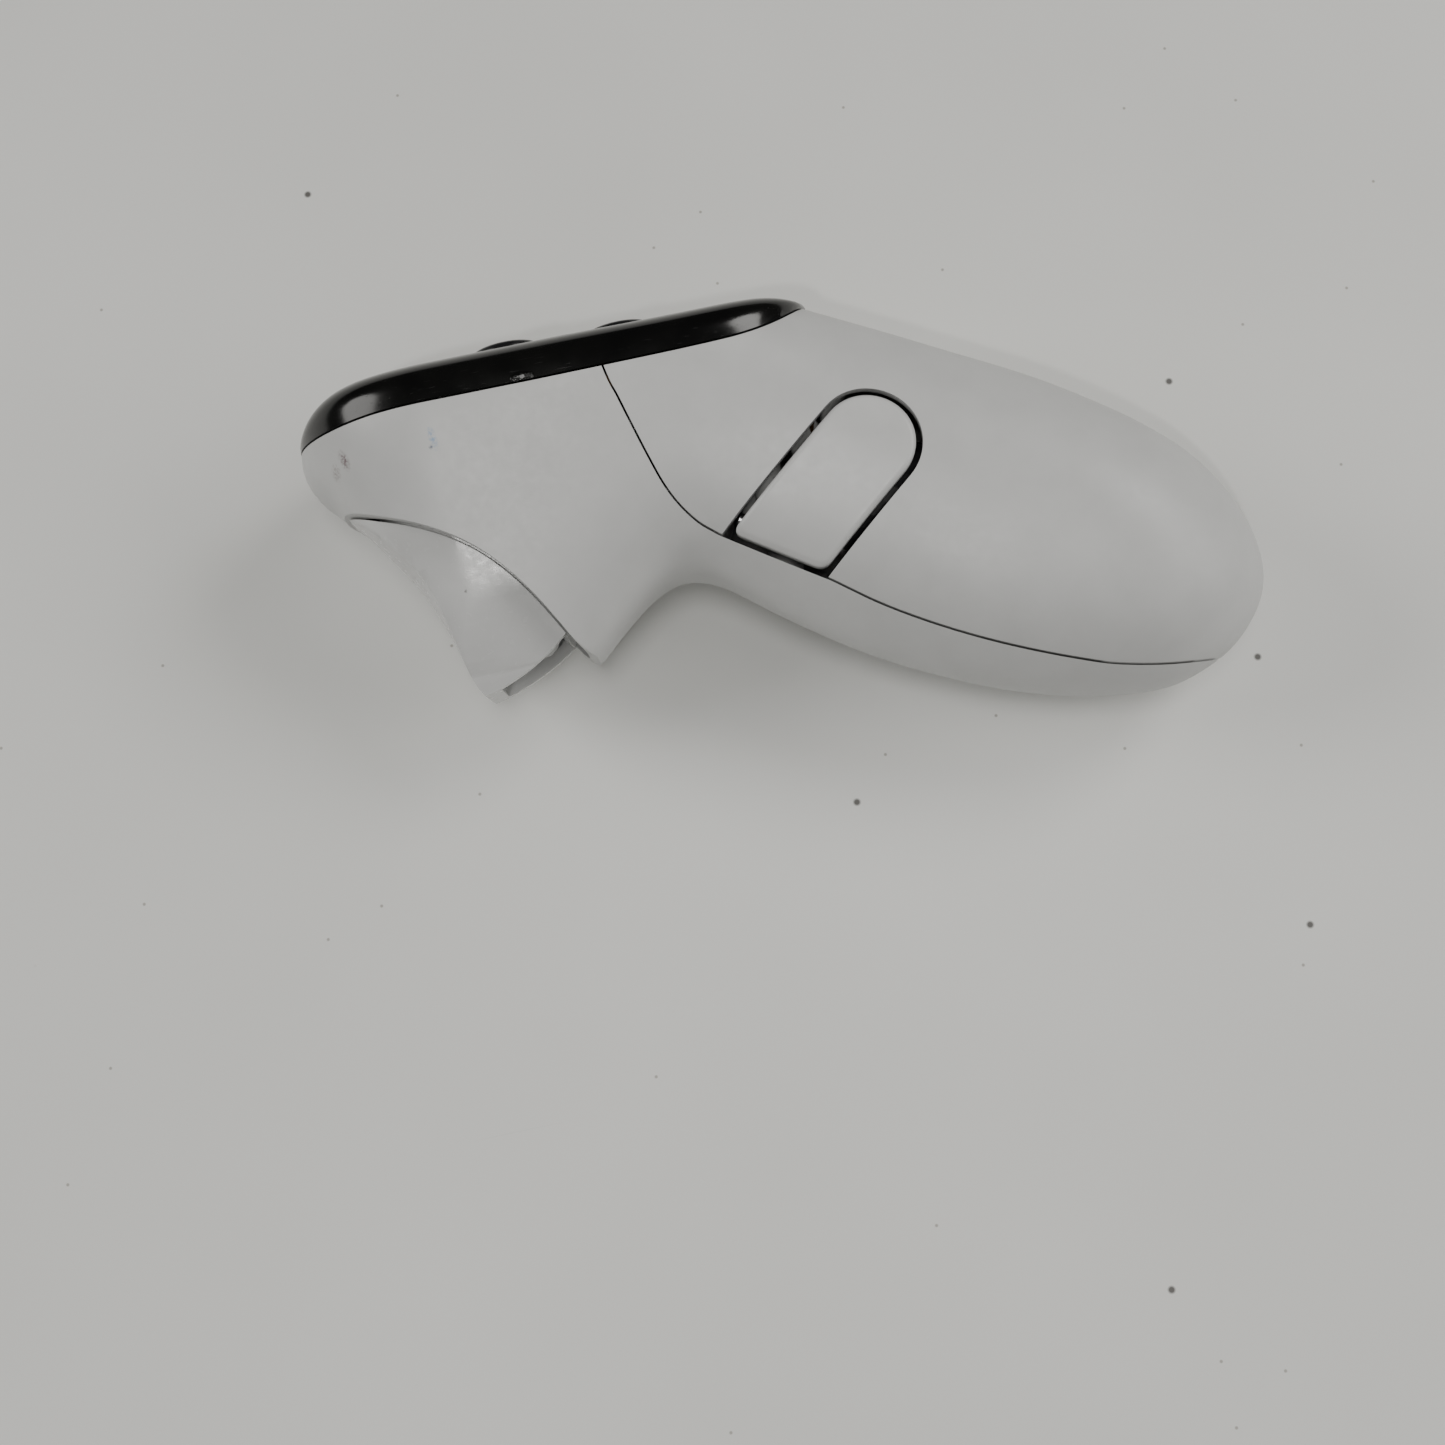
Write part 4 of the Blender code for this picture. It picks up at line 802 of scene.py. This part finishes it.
def build_cover():
    stations, count = int(110 * DENSE), int(64 * DENSE)
    cover = loft("cover_shell", [cover_ring(x, 0.0, count) for x in spaced(*COVER_ENDS, stations)])
    skin = Skin(cover)
    hollow = loft("cover_hollow", [cover_ring(x, COVER_WALL, 30) for x in spaced(*HOLLOW_ENDS, 40)])
    holes = [rod(f"hole_{k}", (x, 20, z), (x, 40, z), radius, 80)
             for k, ((x, z), radius) in enumerate(((STICK, STICK_HOLE), (BUTTON_B, BUTTON_HOLE),
                                                   (BUTTON_A, BUTTON_HOLE), (MENU, MENU_HOLE)))]
    wells = [rod(f"well_{k}", (x, floor, z), (x, 40, z), radius, 96)
             for k, ((x, z), (radius, floor)) in enumerate(((STICK, STICK_WELL),
                                                            (THUMB_REST, THUMB_DISH)))]
    cut(cover, hollow, *wells, *holes)
    place(round_rims(cover, COVER_LIP, 4), "shell", "black_gloss", MATERIALS["black_gloss"],
          "face_cover", skin=skin)


def shoulder(radius, height, size):
    """Profile points of a rounded top edge, from the top face round to the side."""
    angles = np.linspace(90, 0, 7)
    return [(radius - size + size * math.cos(math.radians(a)),
             height - size + size * math.sin(math.radians(a))) for a in angles]


def build_buttons():
    satin = MATERIALS["black_satin"]
    for letter, place_xz, top in (("a", BUTTON_A, BUTTON_A_TOP), ("b", BUTTON_B, BUTTON_B_TOP)):
        profile = [(0, top), (1.4, top - 0.02), (2.8, top - 0.1), *shoulder(4.9, top - 0.22, 0.9),
                   (4.9, 28.6), (5.6, 28.6), (5.6, 27.8), (1.6, 27.8), (1.6, 20.3), (0, 20.3)]
        button = turned(f"face_button_{letter}", profile, place_xz)
        place(round_rims(button, 0.08), f"button_{letter}", "black_satin", satin,
              f"button_{letter}")
    profile = [(0, 31.72), (1.2, 31.75), (2.2, 31.86), *shoulder(3.2, 31.9, 0.45), (3.2, 28.0),
               (4.0, 28.0), (4.0, 27.2), (1.4, 27.2), (1.4, 20.3), (0, 20.3)]
    menu = turned("menu_key", profile, MENU)
    place(round_rims(menu, 0.06), "menu_button", "black_satin", satin, "menu_button")


def build_stick_cap():
    """A dished cap with a knurled rim over a ball skirt that covers the hole."""
    outer, inner = 11.2, 10.4           # radii of the skirt about the pivot
    skirt_out = [(outer * math.sin(a), outer * math.cos(a)) for a in np.radians(range(22, 47, 2))]
    skirt_in = [(inner * math.sin(a), inner * math.cos(a)) for a in np.radians(range(46, 15, -3))]
    rim = [(6.45 + 0.35 * math.cos(a), 14.95 + 0.35 * math.sin(a))
           for a in np.radians(range(110, -20, -18))]
    profile = [(0, 14.3), (1.7, 14.32), (3.4, 14.4), (4.6, 14.62), (5.4, 14.9), (6.0, 15.22), *rim,
               (6.8, 14.6), (6.75, 14.3), (6.2, 13.8), (5.4, 13.35), (4.6, 13.0), (4.0, 12.55),
               (3.6, 12.0), (3.42, 11.4), (3.4, 10.9), *skirt_out, *skirt_in, (2.6, 9.9),
               (2.6, 8.4), (1.6, 8.4), (1.6, 13.4), (0, 13.4)]
    cap = turned("stick_cap_detail", profile, STICK, STICK_PIVOT_Y, 288)
    for vertex in cap.data.vertices:
        dx, dz = vertex.co.x - STICK[0], vertex.co.z - STICK[1]
        radius = math.hypot(dx, dz)
        height = vertex.co.y - STICK_PIVOT_Y
        if radius > KNURL_RADIUS and height > KNURL_HEIGHT:
            wave = 0.5 - 0.5 * math.cos(KNURL_COUNT * math.atan2(dz, dx))
            shrink = 1 - KNURL_DEPTH * wave * min(1, (radius - KNURL_RADIUS) / 0.2) / radius
            vertex.co.x, vertex.co.z = STICK[0] + dx * shrink, STICK[1] + dz * shrink
    place(cap, "stick_cap", "soft_touch", MATERIALS["soft_touch"], "thumbstick_cap")


# ---------------------------------------------------------------- trigger
def trigger_outline(z):
    """The trigger's side view at depth z: its front draws in towards both sides."""
    front = eased(TRIGGER_FRONT, 0.45)[::2]
    inward = offset_line(front, 1.0) - front
    along = np.linspace(0, 1, len(front))[:, None]
    draw = TRIGGER_SWELL * (abs(z) / 11.0) ** 2 * np.sin(np.pi * np.clip(along, 0.12, 0.9))
    under = arc_points(TRIGGER_PIVOT, TRIGGER_UNDER_RADIUS, TRIGGER_TIP_ANGLE,
                       TRIGGER_BACK_ANGLE, 30)
    top = [(-33.0, 1.0), (-40.5, 6.0), (-45.4, 12.4), (-47.0, 17.4), (-49.4, 19.7), (-52.6, 19.9),
           (-55.2, 19.2)]
    return [(x, y, z) for x, y in [*(front + inward * draw), *under, *top]]


def trigger_taper(name, inset):
    """The room between the trigger's two narrowing flanks, drawn in by inset."""
    side = [(y, z - inset) for y, z in smooth(TRIGGER_TAPER, 6)]
    outline = [*side, *[(y, -z) for y, z in reversed(side)]]
    return loft(name, [[(x, y, z) for y, z in outline] for x in (-75.0, -20.0)])


def trigger_walls():
    """What the housing's walls take from the trigger's sides above its opening."""
    arc = offset_line(eased(TRIGGER_ARC, 0.5)[::3], -GAP)
    walls = prism("walls_over_arc", [*map(tuple, arc), (-10, -20), (-10, 40), (-70, 40), (-70, 8)],
                  -30.0, 30.0)
    inside = WALL + TRIGGER_NECK
    return cut(walls, body_solid("trigger_clearance", inside, inside, 60, 44))


def trigger_hollow(web):
    """The room inside the trigger, above a web that ends at that radius from the pivot."""
    inner_front = offset_line(smooth(TRIGGER_FRONT, 2), TRIGGER_SWELL + TRIGGER_WALL)[5:-3]
    inner_under = arc_points(TRIGGER_PIVOT, web - 1.6, TRIGGER_TIP_ANGLE + 6.0,
                             TRIGGER_BACK_ANGLE - 4.0, 10)
    room = prism("trigger_room", [*map(tuple, inner_front), *inner_under, (-20.0, 12.0),
                                  (-40.0, 30.0), (-55.4, 26.0), (-55.4, 16.5)], -30.0, 30.0)
    sides = body_solid("trigger_room_sides", WALL + TRIGGER_NECK + TRIGGER_WALL, WALL + 2.1, 50, 36)
    return keep(room, sides, trigger_taper("trigger_room_flanks", TRIGGER_WALL))


def trigger_recess(web):
    """The shallow recess in the trigger's underside, inside an even rim."""
    first, last = TRIGGER_RECESS_ANGLES
    recess = prism("trigger_recess", [*arc_points(TRIGGER_PIVOT, web, first, last, 24),
                                      *arc_points(TRIGGER_PIVOT, web + 4.0, last, first, 24)],
                   -30.0, 30.0)
    sides = body_solid("recess_sides", WALL + TRIGGER_FLANK + TRIGGER_RIM, 0.0, 60, 44)
    return keep(recess, sides, trigger_taper("recess_flanks", TRIGGER_RIM))


def build_trigger():
    px, py = TRIGGER_PIVOT
    trigger = loft("trigger_lever", [trigger_outline(z) for z in np.linspace(-15.0, 15.0, 41)])
    keep(trigger, body_solid("trigger_sides", WALL + TRIGGER_FLANK, 0.0, 80, 60),
         trigger_taper("trigger_flanks", 0.0))
    cut(trigger, trigger_walls())
    web = TRIGGER_UNDER_RADIUS - TRIGGER_RECESS
    room, recess = trigger_hollow(web), trigger_recess(web)
    round_rims(trigger, TRIGGER_LIP, 3)
    cut(trigger, recess)
    angle = math.radians(MAGNET_ANGLE)
    mx, my = px + MAGNET_REACH * math.cos(angle), py + MAGNET_REACH * math.sin(angle)
    cut(trigger, room, rod("trigger_bore", (px, py, -15), (px, py, 15), PIN_BORE))
    radius, half = MAGNET_HOLDER
    join(trigger, rod("magnet_holder", (mx, my, -half), (mx, my, half), radius))
    radius, half = MAGNET_BORE
    cut(trigger, rod("magnet_bore", (mx, my, -half), (mx, my, half), radius))
    place(trigger, "trigger", "white_plastic", MATERIALS["trigger_white"], "trigger")


# ---------------------------------------------------------------- grip button
def even_loop(points, count):
    """A closed outline again as count points at even distances."""
    closed = np.array([*points, points[0]], float)
    run = np.concatenate([[0], np.cumsum(np.hypot(*np.diff(closed, axis=0).T))])
    even = np.linspace(0, run[-1], count, endpoint=False)
    return np.column_stack([np.interp(even, run, closed[:, k]) for k in (0, 1)])


def build_grip():
    """Rings round the U, from its back up over a rounded rim to the middle of its face."""
    depth = GRIP_THICKNESS + GRIP_PROUD
    steps = [(0.0, depth)]
    for a in np.radians(np.linspace(0, 90, 9)):
        steps.append((GRIP_RIM * (1 - math.cos(a)), GRIP_RIM * (1 - math.sin(a))))
    centre = np.array(GRIP_MIDDLE)

    def ring(inset, drop, share=1.0):
        loop = even_loop(grip_loop(GRIP_GAP + inset, max(0.35, 1.5 - inset)), 160)
        loop = centre + (loop - centre) * share
        return [(x, y, half_depth(x, y) + GRIP_PROUD - drop) for x, y in loop]

    rings = [ring(inset, drop) for inset, drop in steps]
    rings += [ring(GRIP_RIM, 0.0, share) for share in np.linspace(0.96, 0.02, 24)]
    back = [ring(GRIP_RIM, depth, share) for share in np.linspace(0.02, 0.96, 10)]
    button = loft("grip_key", [*back, *rings])
    high, low = Vector((*GRIP_FLAT[0], 0)), Vector((*GRIP_FLAT[1], 0))
    along = (low - high).normalized()
    up = Vector((-along.y, along.x, 0))
    hinge = (high + low) / 2 + up * GRIP_HINGE_BACK + Vector((0, 0, GRIP_HINGE_DEPTH))
    arms = []
    for side in (-1, 1):
        middle = hinge + along * 4.0 * side
        arms.append(rod(f"grip_arm_{side}", middle - along * 0.9, middle + along * 0.9, 2.0, 32))
        arms.append(rod(f"grip_stem_{side}", middle, middle + Vector((0, 0, 3.6)), 0.9, 24))
    spot = Vector((*GRIP_ROUND, 0.0))
    arms.append(rod("magnet_cup", spot + Vector((0, 0, 11.6)), spot + Vector((0, 0, 15.6)), 2.5))
    join(button, *arms)
    cut(button, rod("grip_bore", hinge - along * 9, hinge + along * 9, PIN_BORE - 0.3, 32),
        rod("cup_bore", spot + Vector((0, 0, 10.0)), spot + Vector((0, 0, 13.9)), 1.8, 32))
    place(button, "grip", "white_gloss", MATERIALS["white_gloss"], "grip_button")


# ---------------------------------------------------------------- inside
def build_springs():
    """Springs between the shell and the piece they return, as fixed coils of wire."""
    steel = MATERIALS["spring_steel"]
    x, y = TRIGGER_PIVOT
    radius, pitch, turns, wire_radius = TRIGGER_COIL
    coil = coil_points((x, y, TRIGGER_COIL_Z), radius, pitch, turns, TRIGGER_COIL_ANGLE)
    points = [coil[0] + Vector(SHELL_LEG), *coil, coil[-1] + Vector(TRIGGER_LEG)]
    low, high = TRIGGER_COIL_BLEND
    place(wire("trigger_coil", points, wire_radius), ("shell", "trigger", (x, y, low), (x, y, high)),
          "spring_steel", steel, "trigger_spring")
    flat_middle = (Vector((*GRIP_FLAT[0], 0)) + Vector((*GRIP_FLAT[1], 0))) / 2
    spot = flat_middle.lerp(Vector((*GRIP_ROUND, 0)), GRIP_COIL_SHARE)
    radius, pitch, turns, wire_radius = GRIP_COIL
    coil = coil_points(spot + Vector((0, 0, GRIP_COIL_Z)), radius, pitch, turns)
    low, high = GRIP_COIL_BLEND
    place(wire("grip_coil", coil, wire_radius),
          ("shell", "grip", spot + Vector((0, 0, low)), spot + Vector((0, 0, high))),
          "spring_steel", steel, "grip_spring")


def build_cell():
    """The battery: wrapped can with rolled shoulders, plus button and bare minus end."""
    half, r = CELL_LENGTH / 2, CELL_RADIUS
    profile = [(0, -half - 0.5), (2.3, -half - 0.5), (2.75, -half - 0.3), (2.75, -half + 0.7),
               (5.6, -half + 0.7), (6.3, -half + 0.8), (6.9, -half + 1.2), (r, -half + 1.8),
               (r, half - 1.4), (6.9, half - 0.8), (6.3, half - 0.4), (5.2, half - 0.3),
               (0, half - 0.3)]
    cell = turned("cell", [(radius, -height) for radius, height in profile], (0, 0), 0.0, 72)
    a = math.radians(CELL_ANGLE)
    direction = Vector((math.cos(a), math.sin(a), 0))
    turn = direction.to_track_quat("-Y", "Z").to_matrix().to_4x4()
    cell.data.transform(Matrix.Translation(on_cell(0.0)) @ turn)
    place(cell, "shell", "cell_label", MATERIALS["cell_label"], "battery")


def paint_frame_nodes():
    """Gives every CAD node that stays in view its own material."""
    for name, node in frame["nodes"].items():
        if node.hide_render:
            continue
        packed = node.data.materials[0].name if node.data.materials else ""
        slot = packed.split(".")[0]
        if slot not in MATERIALS:
            raise ValueError(f"{name} has the material {packed!r}, which has no look here")
        node.data.materials.clear()
        node.data.materials.append(MATERIALS[slot])


# ---------------------------------------------------------------- stage
def build_floor():
    bm = bmesh.new()
    bmesh.ops.create_grid(bm, x_segments=8, y_segments=8, size=TABLE_HALF)
    floor = add_object("floor", bm)
    floor.location.z = -TABLE_DROP
    s = Shader("table_top")
    cloud = s.spread(s.noise(9.0, 3.0), 0.3, 0.7)
    tint = s.blend(cloud, TABLE_DARK, TABLE_PALE)
    streaks = s.spread(s.noise(14.0, 1.0, s.add("Mapping", "Vector", {
        "Vector": s.where, "Scale": (1.0, 60.0, 1.0), "Rotation": (0.0, 0.0, 0.25)})), 0.80, 0.86)
    tint = s.blend(s.times(streaks, 0.25), tint, STREAK_COLOUR)
    tint = s.blend(s.times(s.specks(34.0, 0.022, 0.20, "2D"), 0.9), tint, SPECK_COLOUR)
    tint = s.blend(s.times(s.specks(120.0, 0.035, 0.05, "2D"), 0.6), tint, DUST_COLOUR)
    floor.data.materials.append(
        s.finish(tint, 0.5, s.bump(s.noise(1500.0, 3.0), 0.06, 0.05)))


def aim(obj, position, target):
    obj.location = position
    obj.rotation_euler = (Vector(target) - Vector(position)).to_track_quat("-Z", "Y").to_euler()


def build_lights():
    """A dim room, and LIGHTS round the body aimed at the middle of the table."""
    world = bpy.data.worlds.new("soft_room")
    world.use_nodes = True
    room = world.node_tree.nodes["Background"]
    room.inputs["Color"].default_value = ROOM_COLOUR
    room.inputs["Strength"].default_value = ROOM_STRENGTH
    bpy.context.scene.world = world
    for name, heading, height, size, power in LIGHTS:
        light = bpy.data.lights.new(name, "AREA")
        light.shape = "DISK"
        light.size = size
        light.energy = power
        light.color = LIGHT_COLOUR
        obj = bpy.data.objects.new(name, light)
        bpy.context.scene.collection.objects.link(obj)
        turn, lift = math.radians(heading), math.radians(height)
        toward = Vector((-math.cos(turn) * math.cos(lift), math.sin(turn) * math.cos(lift),
                         math.sin(lift)))
        aim(obj, TURN @ toward * LIGHT_DISTANCE, (0.0, 0.0, 0.0))


def build_camera():
    tilt, roll = math.radians(VIEW_TILT), math.radians(VIEW_ROLL)
    back = Vector((0, -math.sin(tilt), math.cos(tilt)))
    right = Vector((math.cos(roll), -math.sin(roll), 0))
    right = (right - back * right.dot(back)).normalized()
    up = back.cross(right)
    facing = TURN @ Matrix((right, up, back)).transposed()
    data = bpy.data.cameras.new("camera")
    data.sensor_width = VIEW_SENSOR
    data.lens = VIEW_LENS
    data.clip_start = 0.01
    camera = bpy.data.objects.new("camera", data)
    bpy.context.scene.collection.objects.link(camera)
    camera.matrix_world = (Matrix.Translation(shared(Vector(VIEW_TARGET) + back * VIEW_DISTANCE))
                           @ facing.to_4x4())
    bpy.context.scene.camera = camera


build_camera()
build_lights()
build_floor()
build_shells()
build_cover()
build_buttons()
build_stick_cap()
build_trigger()
build_grip()
build_springs()
build_cell()
paint_frame_nodes()
